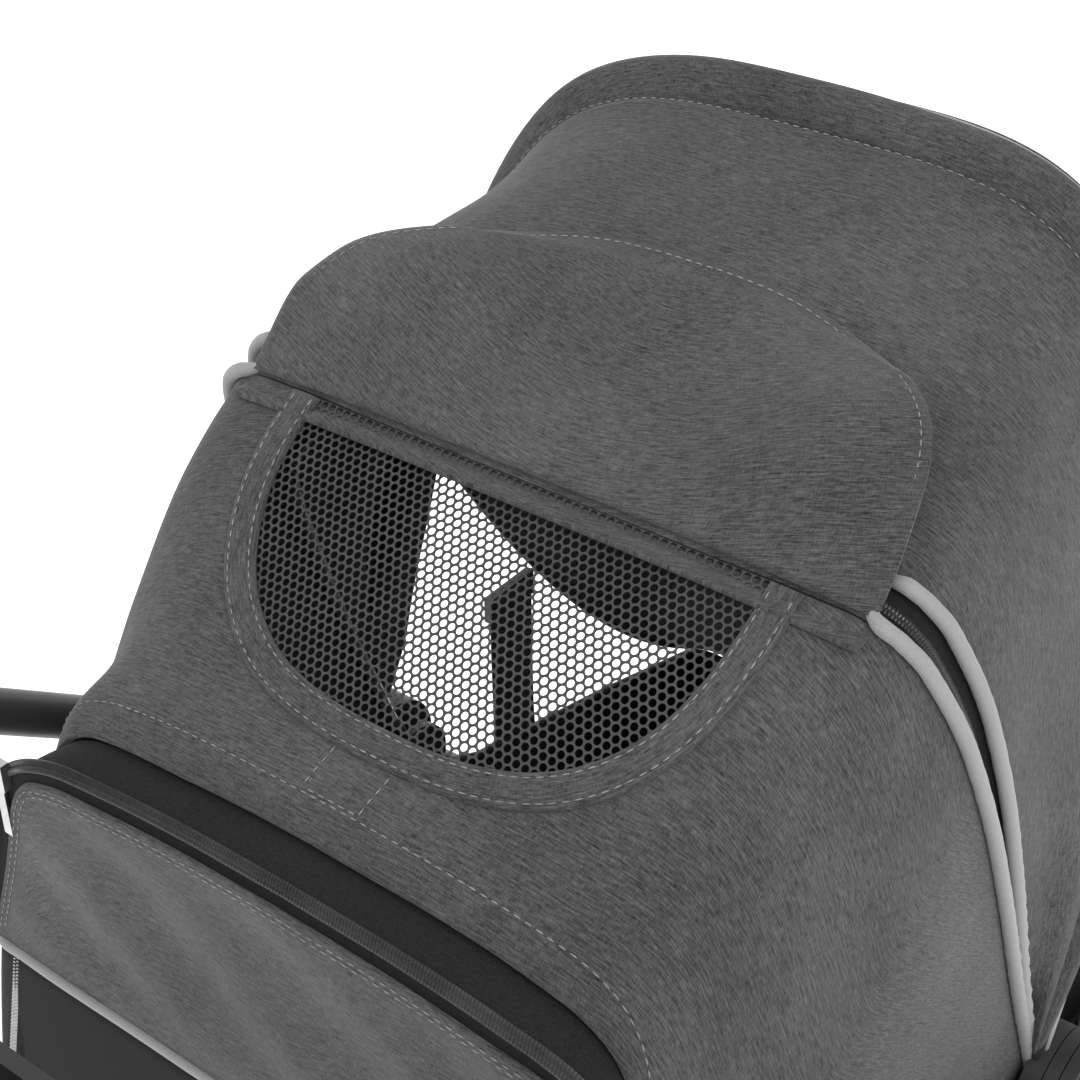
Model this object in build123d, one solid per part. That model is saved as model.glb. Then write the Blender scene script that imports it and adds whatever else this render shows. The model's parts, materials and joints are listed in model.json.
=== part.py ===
from build123d import *
import math
import os

# Pet stroller in millimetres. +Z is up, the animal faces -Y and the pusher stands at +Y.
# The origin is on the floor, under the middle of the whole stroller's box.
# The hub axis runs along X. Both the folding frame and the hood turn about it, so
# most sizes below are (y, z) pairs measured from it.

# Driving dimensions: the folding frame
HUB_Y = -69.75                   # hub axis from the origin
HUB_Z = 580.0                    # hub axis above the floor
TUBE_X = 225.0                   # middle plane of the side tubes
TUBE_R = 11.0                    # side tubes, outside
CROSS_R = 9.0                    # cross tubes, outside
WALL = 1.5                       # tube wall
FIT = 0.05                       # clearance on the radius of every pin and sleeve
PIN_R = 6.0                      # hub pins
HUB_R = 34.0                     # hub discs
LAYER = 6.5                      # thickness of each hub disc
GAP = 0.5                        # plain gap between neighbours
SLEEVE_IN = 72.0                 # sleeves on the discs, from the hub axis
SLEEVE_OUT = 112.0
SLEEVE_R = 15.0
FRONT_LEG = (-345.0, -375.0)     # direction and reach of the front legs
FRONT_LEG_END = 488.0            # its length from the hub axis
REAR_AXLE = (330.0, -485.0)      # the same for the rear legs, which end past the axle
REAR_LEG_END = 545.0
HANDLE_ANGLE = 36.5              # handle tubes above +Y
HANDLE_REACH = 640.0             # hub axis to the middle of the grip
HANDLE_BEND = 45.0
GRIP_R = 17.0
GRIP_HALF = 150.0
COLLAR_LENGTH = 30.0

# Driving dimensions: the wheels
CASTER_X = 222.0
CASTER_Y = -352.0                # swivel axis
CASTER_TRAIL = 35.0
STEM_R = 8.0
FRONT_WHEEL = (75.0, 26.0)       # radius and width
REAR_WHEEL = (95.0, 30.0)
REAR_WHEEL_X = 262.0
AXLE_R = 5.0
TYRE_DEPTH = 12.0

# Driving dimensions: the cabin and its hood
RAIL_X = 180.0                   # rails under the cabin
RAIL_Z = -178.0
RAIL_R = 5.0
SHELL = 2.5                      # sewn panels
TUB_HALF = 194.0
TUB_CORNER = 38.0
TUB_FLOOR = -170.0
TUB_SIDE = [(290.0, 97.6), (308.0, 24.0), (300.0, TUB_FLOOR), (-312.0, TUB_FLOOR),
            (-320.0, -112.0), (-200.0, -76.0), (-64.0, -40.0), (-16.0, -16.0),
            (16.0, -14.0), (38.0, 12.4)]
TUB_REACH = 314.0                # half length of the tub at its longest
TUB_MIDDLE = -6.0
OPEN_TOP = 400.0                 # above every edge of the tub
HOOD_HALF = 196.0                # half width of the fixed hood
BOW_HALF = 189.0                 # half width of its two fixed bows
BOW_R = 3.0
RIM_ANGLE = 101.3                # plane of the folding rim bow above +Y
RIM_BOW_HALF = 200.2
RIM_HALF = 203.0
RIM_TOP = 438.0
PANEL_START = 40.0               # the fixed hood's panels start this far from the hub axis
RIM_PANEL_START = 125.0          # the rim's panel starts further out, clear of its bow
# The hood's cross-sections in planes through the hub axis:
# angle above +Y, half width, height from the hub axis and squareness of the arch.
HOOD_ARCHES = [(42.0, HOOD_HALF, 363.0, 5.5), (44.4, HOOD_HALF, 365.5, 5.5),
               (48.4, HOOD_HALF, 354.0, 5.5), (55.0, HOOD_HALF, 352.5, 5.5),
               (62.0, HOOD_HALF, 356.0, 5.5), (68.1, HOOD_HALF, 361.0, 5.5),
               (71.2, HOOD_HALF, 362.0, 5.5), (80.0, HOOD_HALF, 369.5, 5.4),
               (88.0, HOOD_HALF, 385.5, 5.3)]
REAR_ARCHES = [(39.0, HOOD_HALF, 368.0, 5.5), (33.0, HOOD_HALF, 342.2, 7.0),
               (26.0, HOOD_HALF, 320.4, 9.0), (19.3, HOOD_HALF, 307.3, 13.0)]
ZIPPER_ARCHES = [(41.6, HOOD_HALF, 364.5, 5.5), (39.5, HOOD_HALF, 367.0, 5.5)]
RIM_ARCHES = [(88.6, RIM_HALF, 397.0, 5.3), (96.0, RIM_HALF, 408.0, 4.9),
              (99.6, RIM_HALF, 420.0, 4.4)]
FLAP_LINE = (134.0, 339.0)       # fold line of the window flap
FLAP_EDGE = (16.0, 389.0)        # its free edge when it is folded up
FLAP_HALF = 153.0
WINDOW_HALF = 111.5
WINDOW_DEPTH = 112.0
WINDOW_FOOT = (235.0, 265.0)     # middle of the window's lower edge
COVER_ANGLE = 102.8              # plane of the front cover's edge beside the rim
COVER_FOOT = (-324.0, -109.5)    # its hinge line on the front wall
COVER_SAG = 40.0                 # how far its free side edges hang below a straight line

SIDES = (("left", 1), ("right", -1))
os.makedirs("parts", exist_ok=True)


def at(x, y, z):
    """A point measured from the hub axis."""
    return Vector(x, HUB_Y + y, HUB_Z + z)


def polar(x, radius, angle):
    """A point given by its distance from the hub axis and its angle above +Y."""
    turn = math.radians(angle)
    return at(x, radius * math.cos(turn), radius * math.sin(turn))


def along(x, reach, radius):
    """A point on the straight line from the hub axis to reach, radius away from the axis."""
    length = math.hypot(*reach)
    return at(x, reach[0] * radius / length, reach[1] * radius / length)


def rod(start, end, radius):
    """A solid round bar between two points."""
    run = end - start
    bar = Cylinder(radius, run.length, align=(Align.CENTER, Align.CENTER, Align.MIN))
    return Plane(origin=start, z_dir=run) * bar


def bore(start, end, radius):
    """A round cutter that passes both points by 1 mm."""
    step = (end - start).normalized()
    return rod(start - step, end + step, radius)


def tube_rod(side, reach, start, end, radius):
    """A solid round bar on the line of a side tube, between two distances from the hub axis."""
    return rod(along(side * TUBE_X, reach, start), along(side * TUBE_X, reach, end), radius)


def tube(start, end, radius):
    """An open round tube between two points."""
    return rod(start, end, radius) - bore(start, end, radius - WALL)


def disc(side, x_from, x_to, radius, centre=(0.0, 0.0)):
    """A disc about an axis along X, on one side of the stroller."""
    return rod(at(side * x_from, *centre), at(side * x_to, *centre), radius)


def block(x_range, y_range, z_range):
    """A box between limits measured from the hub axis."""
    low, high = zip(sorted(x_range), sorted(y_range), sorted(z_range))
    size = [b - a for a, b in zip(low, high)]
    middle = at(*[(a + b) / 2 for a, b in zip(low, high)])
    return Pos(*middle) * Box(*size)


def side_plate(side, x_range, outline):
    """A plate with a (y, z) outline, between two distances from the middle plane."""
    low, high = sorted((side * x_range[0], side * x_range[1]))
    wire = Polyline(*[at(low, y, z) for y, z in outline], close=True)
    return extrude(make_face(wire), amount=high - low, dir=(1, 0, 0))


def bent(points, radius):
    """A round bar through points, with each corner as large an arc as its runs allow."""
    bends = []
    for a, b, c in zip(points, points[1:], points[2:]):
        turn = math.radians((b - a).get_angle(c - b))
        shorter = min((b - a).length, (c - b).length)
        bends.append(0.45 * shorter / math.tan(turn / 2))
    path = FilletPolyline(*points, radius=bends)
    return sweep(Plane(origin=path @ 0, z_dir=path % 0) * Circle(radius), path=path)


def triangle(a, b, c):
    return Face(Wire.make_polygon([Vector(*a), Vector(*b), Vector(*c)], close=True))


def quad(a, b, c, d):
    return [triangle(a, b, c), triangle(a, c, d)]


def skin(outer, inner):
    """A closed solid between two grids of points of the same size."""
    rows = len(outer)
    columns = len(outer[0])
    faces = []
    for i in range(rows - 1):
        for j in range(columns - 1):
            faces += quad(outer[i][j], outer[i][j + 1], outer[i + 1][j + 1], outer[i + 1][j])
            faces += quad(inner[i][j], inner[i + 1][j], inner[i + 1][j + 1], inner[i][j + 1])
    for j in range(columns - 1):
        faces += quad(outer[0][j], inner[0][j], inner[0][j + 1], outer[0][j + 1])
        faces += quad(outer[-1][j], outer[-1][j + 1], inner[-1][j + 1], inner[-1][j])
    for i in range(rows - 1):
        faces += quad(outer[i][0], outer[i + 1][0], inner[i + 1][0], inner[i][0])
        faces += quad(outer[i][-1], inner[i][-1], inner[i + 1][-1], outer[i + 1][-1])
    return Solid(Shell(faces))


def arch(angle, half, top, power, start=PANEL_START, steps=20):
    """A squared arch from one hub over the top to the other, in a plane through the hub axis."""
    first = math.asin((start / top) ** (power / 2))
    points = []
    for k in range(steps + 1):
        t = first + (math.pi - 2 * first) * k / steps
        x = half * math.copysign(abs(math.cos(t)) ** (2 / power), math.cos(t))
        points.append(polar(x, top * math.sin(t) ** (2 / power), angle))
    return points


def hood_shell(arches, start=PANEL_START):
    """A sewn panel through several arches."""
    outer = [arch(*a, start) for a in arches]
    inner = [arch(angle, half - SHELL, top - SHELL, power, start) for angle, half, top, power in arches]
    return skin(inner, outer)


def mix(a, b, share):
    return a + (b - a) * share


def group(pieces):
    """Several separate solids in one node."""
    return Compound(children=pieces)


def write(name, shape):
    export_step(shape, os.path.join("parts", name + ".step"))


# The hub: layers side by side along X, from the cabin outwards

PLATE_X = (204.0, 204.0 + 9.0)
REAR_X = (PLATE_X[1] + GAP, PLATE_X[1] + GAP + LAYER)
HANDLE_X = (REAR_X[1] + GAP, REAR_X[1] + GAP + LAYER)
CAP_X = (HANDLE_X[1] + GAP, HANDLE_X[1] + GAP + 5.0)
BRACKET_X = (186.0, 191.0)


def hub_disc(side, x_range, reach):
    """A disc on the hub pin with an arm and a sleeve that holds one tube."""
    body = disc(side, *x_range, HUB_R)
    across = Vector(0, *reach).normalized().cross(Vector(1, 0, 0)) * 13.0
    start = along(0, reach, 10.0) - at(0, 0, 0)
    end = along(0, reach, SLEEVE_OUT) - at(0, 0, 0)
    corners = [start + across, end + across, end - across, start - across]
    body += side_plate(side, x_range, [(p.Y, p.Z) for p in corners])
    tube_start = along(side * TUBE_X, reach, SLEEVE_IN)
    tube_end = along(side * TUBE_X, reach, SLEEVE_OUT)
    body += rod(tube_start, tube_end, SLEEVE_R)
    body -= bore(tube_start, tube_end + (tube_end - tube_start), TUBE_R + FIT)
    body -= disc(side, x_range[0] - 1, x_range[1] + 1, PIN_R + FIT)
    return body


def hub_plate(side):
    return hub_disc(side, PLATE_X, FRONT_LEG)


def rear_leg_disc(side):
    return hub_disc(side, REAR_X, REAR_AXLE)


def handle_disc(side):
    turn = math.radians(HANDLE_ANGLE)
    return hub_disc(side, HANDLE_X, (math.cos(turn), math.sin(turn)))


def hub_pin(side):
    pin = disc(side, 182.0, CAP_X[1], PIN_R)
    head = disc(side, *CAP_X, 24.0)
    head = fillet(head.edges().filter_by(GeomType.CIRCLE).sort_by(Axis.X)[-1 if side > 0 else 0], 3.0)
    return pin + head


# The frame

def leg_tube(side, reach, end):
    """The tube of a leg, from inside its hub sleeve to its foot."""
    return tube(along(side * TUBE_X, reach, SLEEVE_IN), along(side * TUBE_X, reach, end), TUBE_R)


def front_leg(side):
    return leg_tube(side, FRONT_LEG, FRONT_LEG_END)


def front_crossbar():
    """A cross tube with a clamp ring round each front leg."""
    middle = along(0, FRONT_LEG, 400.0) - at(0, 0, 0)
    bar = rod(at(-TUBE_X, middle.Y, middle.Z), at(TUBE_X, middle.Y, middle.Z), CROSS_R)
    for _, side in SIDES:
        bar += tube_rod(side, FRONT_LEG, 386.0, 414.0, SLEEVE_R)
    for _, side in SIDES:
        bar -= tube_rod(side, FRONT_LEG, 370.0, 430.0, TUBE_R + FIT)
    return bar


CASTER_TOP = 168.0 - HUB_Z       # underside of the caster sockets


def caster_socket(side):
    """Holds the front leg's end and the caster's upright stem."""
    def upright(low, high, radius):
        return rod(at(side * CASTER_X, CASTER_Y, low), at(side * CASTER_X, CASTER_Y, high), radius)
    body = upright(CASTER_TOP, CASTER_TOP + 50, 18.0) + tube_rod(side, FRONT_LEG, 448.0, 500.0, SLEEVE_R)
    body -= tube_rod(side, FRONT_LEG, 440.0, FRONT_LEG_END, TUBE_R + FIT)
    return body - upright(CASTER_TOP - 1, CASTER_TOP + 32, STEM_R + FIT)


def cabin_rail(side):
    """A rail under the cabin floor, clamped to the front leg and stayed to the hub."""
    leg_y = RAIL_Z * FRONT_LEG[0] / FRONT_LEG[1]
    leg_run = math.hypot(leg_y, RAIL_Z)
    rail = rod(at(side * RAIL_X, -290.0, RAIL_Z), at(side * RAIL_X, 280.0, RAIL_Z), RAIL_R)
    clamp = tube_rod(side, FRONT_LEG, leg_run - 12, leg_run + 12, SLEEVE_R)
    clamp += rod(at(side * RAIL_X, leg_y, RAIL_Z), at(side * (TUBE_X - 9.0), leg_y, RAIL_Z), RAIL_R)
    clamp -= tube_rod(side, FRONT_LEG, leg_run - 30, leg_run + 30, TUBE_R + FIT)
    return rail + clamp


def cabin_crossbars():
    """The front and rear cross rods of the cabin's base."""
    reach = RAIL_X - RAIL_R - GAP
    return group([rod(at(-reach, y, RAIL_Z), at(reach, y, RAIL_Z), 4.0) for y in (-270.0, 262.0)])


def cabin_stay(side):
    """A flat stay from the hub plate down to the back of the cabin rail."""
    foot_y, foot_z = 170.0, RAIL_Z
    outline = [(14.0, -10.0), (26.0, 8.0), (foot_y + 8, foot_z + 6), (foot_y - 2, foot_z - 8),
               (foot_y - 12, foot_z - 4)]
    face = PLATE_X[0] - FIT
    stay = side_plate(side, (199.0, face), outline)
    stay += rod(at(side * (RAIL_X + RAIL_R + GAP), foot_y, foot_z), at(side * face, foot_y, foot_z), 6.0)
    return stay - disc(side, 190.0, 210.0, 15.0)


# The cabin

def cabin_tub():
    """The open fabric tub: floor, four walls and rounded upright corners."""
    def column(inset, outline):
        half = TUB_HALF - inset
        plan = RectangleRounded(2 * half, 2 * (TUB_REACH - inset), TUB_CORNER - inset)
        upright = extrude(Pos(0, HUB_Y + TUB_MIDDLE, HUB_Z - 400.0) * plan, amount=900.0)
        return side_plate(1, (-half, half), outline) & upright
    rear_top, rear_bulge, rear_foot, front_foot, front_top = TUB_SIDE[:5]
    cavity = [(rear_top[0] - SHELL, OPEN_TOP), (rear_top[0] - SHELL, rear_top[1]),
              (rear_bulge[0] - SHELL, rear_bulge[1]), (rear_foot[0] - SHELL, rear_foot[1] + SHELL),
              (front_foot[0] + SHELL, front_foot[1] + SHELL), (front_top[0] + SHELL, front_top[1]),
              (front_top[0] + SHELL, OPEN_TOP)]
    return column(0.0, TUB_SIDE) - column(SHELL, cavity)


def floor_board():
    return block((-180, 180), (-290, 275), (-167, -162))


def cabin_pad():
    pad = block((-178, 178), (-288, 272), (-161.5, -137))
    pad = fillet(pad.edges().filter_by(Axis.Z), 30.0)
    return fillet(pad.edges().group_by(Axis.Z)[-1], 8.0)


def tether():
    """A short safety tether that lies on the pad, with its snap hook."""
    strap = block((50, 70), (70, 250), (-136.5, -134.7))
    hook = block((52, 68), (42, 69.5), (-136.5, -128.5))
    eye = block((56, 64), (47, 60), (-137, -128))
    return strap, hook - eye


def hood_bracket(side):
    """A block on the hub pin that holds the ends of both fixed bows."""
    body = disc(side, *BRACKET_X, 26.0)
    for angle in (43.3, 69.6):
        body += rod(polar(side * BOW_HALF, 22.0, angle), polar(side * BOW_HALF, 44.0, angle), 4.4)
    return body - disc(side, 170.0, 200.0, PIN_R + FIT)


def bow(angle, half, top, start, radius):
    """A bent wire bow between the hubs, in a plane through the hub axis."""
    outline = [(half, start), (half, 0.45 * top), (0.93 * half, 0.80 * top), (0.62 * half, 0.975 * top),
               (0, top)]
    points = [polar(x, r, angle) for x, r in outline]
    points += [polar(-x, r, angle) for x, r in reversed(outline[:-1])]
    return bent(points, radius)


def rear_bow():
    return bow(43.3, BOW_HALF, 352.0, 44.0, BOW_R)


def middle_bow():
    return bow(69.6, BOW_HALF, 350.0, 44.0, BOW_R)


def window_prism(margin):
    """A block through the hood whose outline is the D-shaped window plus a margin."""
    slope_y = WINDOW_FOOT[0] - FLAP_LINE[0]
    slope_z = WINDOW_FOOT[1] - FLAP_LINE[1]
    down = Vector(0, slope_y, slope_z).normalized()
    out = Vector(1, 0, 0).cross(down) * -1
    corner = at(0, *FLAP_LINE) - down * 2.0
    half = WINDOW_HALF + margin
    depth = WINDOW_DEPTH + margin
    power = 2.6
    points = []
    for k in range(19):
        t = math.pi * k / 18
        x = half * math.copysign(abs(math.cos(t)) ** (2 / power), math.cos(t))
        points.append(corner + Vector(x, 0, 0) + down * (depth * math.sin(t) ** (2 / power) - margin))
    face = make_face(Polyline(*points, close=True))
    return extrude(face, amount=40.0, dir=out, both=True)


def hood_panel():
    return hood_shell(HOOD_ARCHES) - window_prism(0.0)


def window_net():
    return hood_shell(HOOD_ARCHES[1:6]) & window_prism(-0.5)


def rear_panel():
    return hood_shell(REAR_ARCHES)


def rear_zipper():
    return hood_shell(ZIPPER_ARCHES)


def zipper_slider():
    """The slider at the end of the rear zipper, with its hanging pull tab."""
    body = block((155, 166), (289.5, 294), (203, 217))
    tab = block((158, 163), (291, 292.6), (176, 202.5))
    return body, tab


def side_strap(side):
    """A wide strap that joins the tub's rim to the front cover's free edge, and its buckle."""
    low = side_plate(side, (194.5, 196.5), [(-78, -110), (-122, -110), (-122, 50), (-84, 50)])
    buckle = side_plate(side, (194.5, 200.0), [(-82, 50.5), (-124, 50.5), (-124, 68), (-100, 68), (-82, 68)])
    return low, buckle


# The basket

BASKET = ((-186.0, 186.0), (-200.0, 190.0), (-405.0, -250.0))


def basket():
    outer = block(*BASKET)
    outer = fillet(outer.edges().filter_by(Axis.Z), 35.0)
    (x0, x1), (y0, y1), (z0, z1) = BASKET
    inner = block((x0 + SHELL, x1 - SHELL), (y0 + SHELL, y1 - SHELL), (z0 + SHELL, z1 + 50))
    inner = fillet(inner.edges().filter_by(Axis.Z), 35.0 - SHELL)
    return outer - inner


def basket_straps():
    """Four webbing straps that hang the basket from the cabin rails."""
    straps = []
    for x in (-186.5 - 1.8, 186.5):
        for y in (-120.0, 120.0):
            straps.append(block((x, x + 1.8), (y - 12, y + 12), (-290, -183)))
    return group(straps)


# The rear legs

BRAKE_BAR = (362.0, -452.0)


def rear_leg(side):
    return leg_tube(side, REAR_AXLE, REAR_LEG_END)


def rear_foot(side):
    """The moulded foot of a rear leg: tube sleeve, axle boss and the brake bar's ear."""
    body = tube_rod(side, REAR_AXLE, 500.0, math.hypot(*REAR_AXLE), SLEEVE_R)
    body += disc(side, 206.0, 241.0, 17.0, REAR_AXLE)
    ear = [(REAR_AXLE[0] - 8, REAR_AXLE[1] + 12), (BRAKE_BAR[0] - 7, BRAKE_BAR[1] + 8),
           (BRAKE_BAR[0] + 8, BRAKE_BAR[1] - 7), (REAR_AXLE[0] + 12, REAR_AXLE[1] - 8)]
    body += side_plate(side, (216.0, 228.0), ear)
    body += disc(side, 216.0, 228.0, 10.0, BRAKE_BAR)
    body -= tube_rod(side, REAR_AXLE, 490.0, REAR_LEG_END, TUBE_R + FIT)
    body -= disc(side, 200.0, 250.0, AXLE_R + FIT, REAR_AXLE)
    return body - disc(side, 210.0, 235.0, 5.0 + FIT, BRAKE_BAR)


def rear_crossbar():
    return tube(at(-206.0, *REAR_AXLE), at(206.0, *REAR_AXLE), CROSS_R)


def rear_axle():
    return rod(at(-283.0, *REAR_AXLE), at(283.0, *REAR_AXLE), AXLE_R)


def rear_nuts():
    """The caps that keep the rear wheels on the axle."""
    return group([disc(side, 280.0, 286.0, 11.0, REAR_AXLE)
                  - disc(side, 279.0, 284.0, AXLE_R + FIT, REAR_AXLE) for _, side in SIDES])


def brake_bar():
    """The rocking brake bar with its foot pedal and a finger beside each wheel."""
    bar = rod(at(-242.0, *BRAKE_BAR), at(242.0, *BRAKE_BAR), 5.0)
    y, z = BRAKE_BAR
    pedal = [(y - 2, z - 5), (y + 45, z - 2), (y + 47, z + 5), (y - 2, z + 6)]
    bar += side_plate(1, (-42.0, 42.0), pedal)
    finger = [(y - 4, z + 5), (y + 5, z - 4), (y - 12, z - 22), (y - 18, z - 16)]
    for _, side in SIDES:
        bar += side_plate(side, (236.0, 242.0), finger)
    return bar


# The wheels

def rim(side, x_middle, centre, size, hub_radius, hub_half, spokes):
    """A moulded wheel: rim ring, hub and flat spokes."""
    radius, width = size
    outer = radius - TYRE_DEPTH
    half = width / 2 - 2.0
    ring = disc(side, x_middle - half, x_middle + half, outer, centre)
    ring -= disc(side, x_middle - half - 1, x_middle + half + 1, outer - 6.0, centre)
    hub = disc(side, x_middle - hub_half, x_middle + hub_half, hub_radius, centre)
    for k in range(spokes):
        turn = 2 * math.pi * k / spokes
        direction = Vector(0, math.cos(turn), math.sin(turn))
        middle = at(side * x_middle, *centre) + direction * (outer - 4.0 + hub_radius - 4.0) / 2
        plane = Plane(origin=middle, x_dir=direction, z_dir=(1, 0, 0))
        hub += plane * Box(outer - hub_radius, 9.0, 8.0)
    return ring + hub - disc(side, x_middle - hub_half - 1, x_middle + hub_half + 1, AXLE_R + FIT, centre)


def tyre(side, x_middle, centre, size):
    """A solid tyre with a rounded tread."""
    radius, width = size
    inner = radius - TYRE_DEPTH + 0.02
    section = Pos((inner + radius) / 2, 0) * RectangleRounded(radius - inner, width, 5.0)
    ring = revolve(section, axis=Axis.Y)
    return Plane(origin=at(side * x_middle, *centre), x_dir=(0, 1, 0), z_dir=(0, 0, 1)) * ring


FRONT_CENTRE = (CASTER_Y + CASTER_TRAIL, FRONT_WHEEL[0] - HUB_Z)


def caster_fork(side):
    """The swivelling fork: upright stem, crown and two arms."""
    crown_top = CASTER_TOP - GAP
    y0, z0 = FRONT_CENTRE
    x = side * CASTER_X
    body = rod(at(x, CASTER_Y, crown_top - 4), at(x, CASTER_Y, CASTER_TOP + 30), STEM_R)
    body += block((x - 20, x + 20), (CASTER_Y - 17, CASTER_Y + 26), (crown_top - 8, crown_top))
    arm = [(CASTER_Y - 17, crown_top), (CASTER_Y + 26, crown_top), (y0 + 12, z0 + 4), (y0 + 8, z0 - 9),
           (y0 - 8, z0 - 9), (y0 - 14, z0 + 4)]
    for inner in (16.2, -19.7):
        body += side_plate(1, (x + inner, x + inner + 3.5), arm)
    return body - rod(at(x - 30, y0, z0), at(x + 30, y0, z0), AXLE_R + FIT)


def caster_axle(side):
    y0, z0 = FRONT_CENTRE
    axle = rod(at(side * CASTER_X - 22, y0, z0), at(side * CASTER_X + 22, y0, z0), AXLE_R)
    for end in (-1, 1):
        axle += rod(at(side * CASTER_X + end * 20.0, y0, z0), at(side * CASTER_X + end * 24.0, y0, z0), 9.0)
    return axle


# The handle

def handle_point(x, radius):
    return polar(x, radius, HANDLE_ANGLE)


def handle_tube(side):
    """A side tube with the bend towards the grip."""
    points = [handle_point(side * TUBE_X, SLEEVE_IN), handle_point(side * TUBE_X, HANDLE_REACH),
              handle_point(side * 172.0, HANDLE_REACH)]
    path = FilletPolyline(*points, radius=HANDLE_BEND)
    start = Plane(origin=path @ 0, z_dir=path % 0)
    return sweep(start * Circle(TUBE_R) - start * Circle(TUBE_R - WALL), path=path)


def handle_crossbar():
    return tube(handle_point(-172.0, HANDLE_REACH), handle_point(172.0, HANDLE_REACH), TUBE_R)


def grip():
    ends = handle_point(-GRIP_HALF, HANDLE_REACH), handle_point(GRIP_HALF, HANDLE_REACH)
    return rod(*ends, GRIP_R) - bore(*ends, TUBE_R + FIT)


TRAY = ((-204.0, 204.0), (411.0, 495.0), (198.0, 262.0))
CUP_X = 140.0
CUP_Y = 453.0
CUP_R = 37.0
CUP_DEPTH = 55.0


def parent_tray():
    """A tray with a cup well on each side and a bin between them."""
    body = fillet(block(*TRAY).edges().filter_by(Axis.Z), 30.0)
    top = TRAY[2][1]
    for x in (-CUP_X, CUP_X):
        body -= rod(at(x, CUP_Y, top - CUP_DEPTH), at(x, CUP_Y, top + 1), CUP_R)
    bin_space = block((-92, 92), (417, 489), (top - 52, top + 10))
    return body - fillet(bin_space.edges().filter_by(Axis.Z), 18.0)


def tray_clip(side):
    """A ring on the handle tube with an arm that carries the tray."""
    ring_start = handle_point(side * TUBE_X, 533.0)
    ring_end = handle_point(side * TUBE_X, 557.0)
    body = rod(ring_start, ring_end, SLEEVE_R)
    body += side_plate(side, (204.5, 213.0), [(441, 215), (470, 215), (462, 330), (430, 322), (428, 300)])
    body -= rod(handle_point(side * TUBE_X, 500.0), handle_point(side * TUBE_X, 590.0), TUBE_R + FIT)
    return body


def release_collar(side):
    """A ring that slides up the handle tube to free the fold."""
    start = handle_point(side * TUBE_X, SLEEVE_OUT + GAP)
    end = handle_point(side * TUBE_X, SLEEVE_OUT + GAP + COLLAR_LENGTH)
    return rod(start, end, 16.5) - bore(start, end, TUBE_R + 2 * FIT)


# The folding rim of the hood, its window flap and the front cover

def rim_bow():
    body = bow(RIM_ANGLE, RIM_BOW_HALF, RIM_TOP, 9.0, BOW_R)
    for _, side in SIDES:
        body += disc(side, 197.5, 203.2, 12.0)
    for _, side in SIDES:
        body -= disc(side, 190.0, 203.9, PIN_R + FIT)
    return body


def rim_panel():
    return hood_shell(RIM_ARCHES, RIM_PANEL_START)


def window_flap():
    """The flap that covers the window, folded up over the roof."""
    outer = []
    inner = []
    for share, half, droop in ((0.02, FLAP_HALF, 2), (0.3, FLAP_HALF, 3), (0.6, FLAP_HALF, 5),
                               (0.85, FLAP_HALF - 6, 6), (1.0, FLAP_HALF - 32, 3)):
        y = mix(FLAP_LINE[0], FLAP_EDGE[0], share)
        z = mix(FLAP_LINE[1], FLAP_EDGE[1], share)
        row = [(half * k / 8, y, z - droop * (k / 8) ** 4) for k in range(-8, 9)]
        outer.append([at(x, y, z) for x, y, z in row])
        inner.append([at(x, y, z - 2.2) for x, y, z in row])
    return skin(inner, outer)


def cover_grid(lift):
    """The front cover's surface, from its edge beside the rim down to the front wall."""
    rows = []
    upper = arch(COVER_ANGLE, RIM_HALF - 3.5, RIM_TOP + 1.0, 3.9, steps=36)
    middle = len(upper) // 2
    leg = next(i for i, p in enumerate(upper) if p.Z > HUB_Z + 195.0)
    edge = upper[leg:len(upper) - leg]
    for i in range(9):
        t = i / 8
        row = []
        for k, p in enumerate(edge):
            across = 1 - 2 * k / (len(edge) - 1)
            foot = at((TUB_HALF - 6.0) * across, *COVER_FOOT)
            point = p + (foot - p) * t
            sag = COVER_SAG * 4 * t * (1 - t) * abs(across) ** 6
            row.append(point + Vector(0, 0, -sag) + Vector(0, -0.75, 0.66) * lift)
        rows.append(row)
    return rows


def cover_window(margin):
    """A block through the front cover where its net window is."""
    corner = at(0, -268.0, 15.0)
    plane = Plane(origin=corner, x_dir=(1, 0, 0), z_dir=(0, -0.92, 0.39))
    outline = RectangleRounded(240.0 + 2 * margin, 170.0 + 2 * margin, 40.0 + margin)
    return extrude(plane * outline, amount=120.0, both=True)


def front_cover():
    return skin(cover_grid(0.0), cover_grid(SHELL)) - cover_window(0.0)


def cover_net():
    return skin(cover_grid(0.4), cover_grid(SHELL - 0.4)) & cover_window(-0.5)


# Every node

for name, side in SIDES:
    write("front_leg_" + name, front_leg(side))
    write("rear_leg_" + name, rear_leg(side))
    write("handle_tube_" + name, handle_tube(side))
    write("release_collar_" + name, release_collar(side))
    write("caster_fork_" + name, caster_fork(side))
    write("caster_axle_" + name, caster_axle(side))
    write("front_rim_" + name, rim(side, CASTER_X, FRONT_CENTRE, FRONT_WHEEL, 13.0, 15.0, 5))
    write("front_tyre_" + name, tyre(side, CASTER_X, FRONT_CENTRE, FRONT_WHEEL))
    write("rear_rim_" + name, rim(side, REAR_WHEEL_X, REAR_AXLE, REAR_WHEEL, 17.0, 16.5, 6))
    write("rear_tyre_" + name, tyre(side, REAR_WHEEL_X, REAR_AXLE, REAR_WHEEL))

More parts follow.
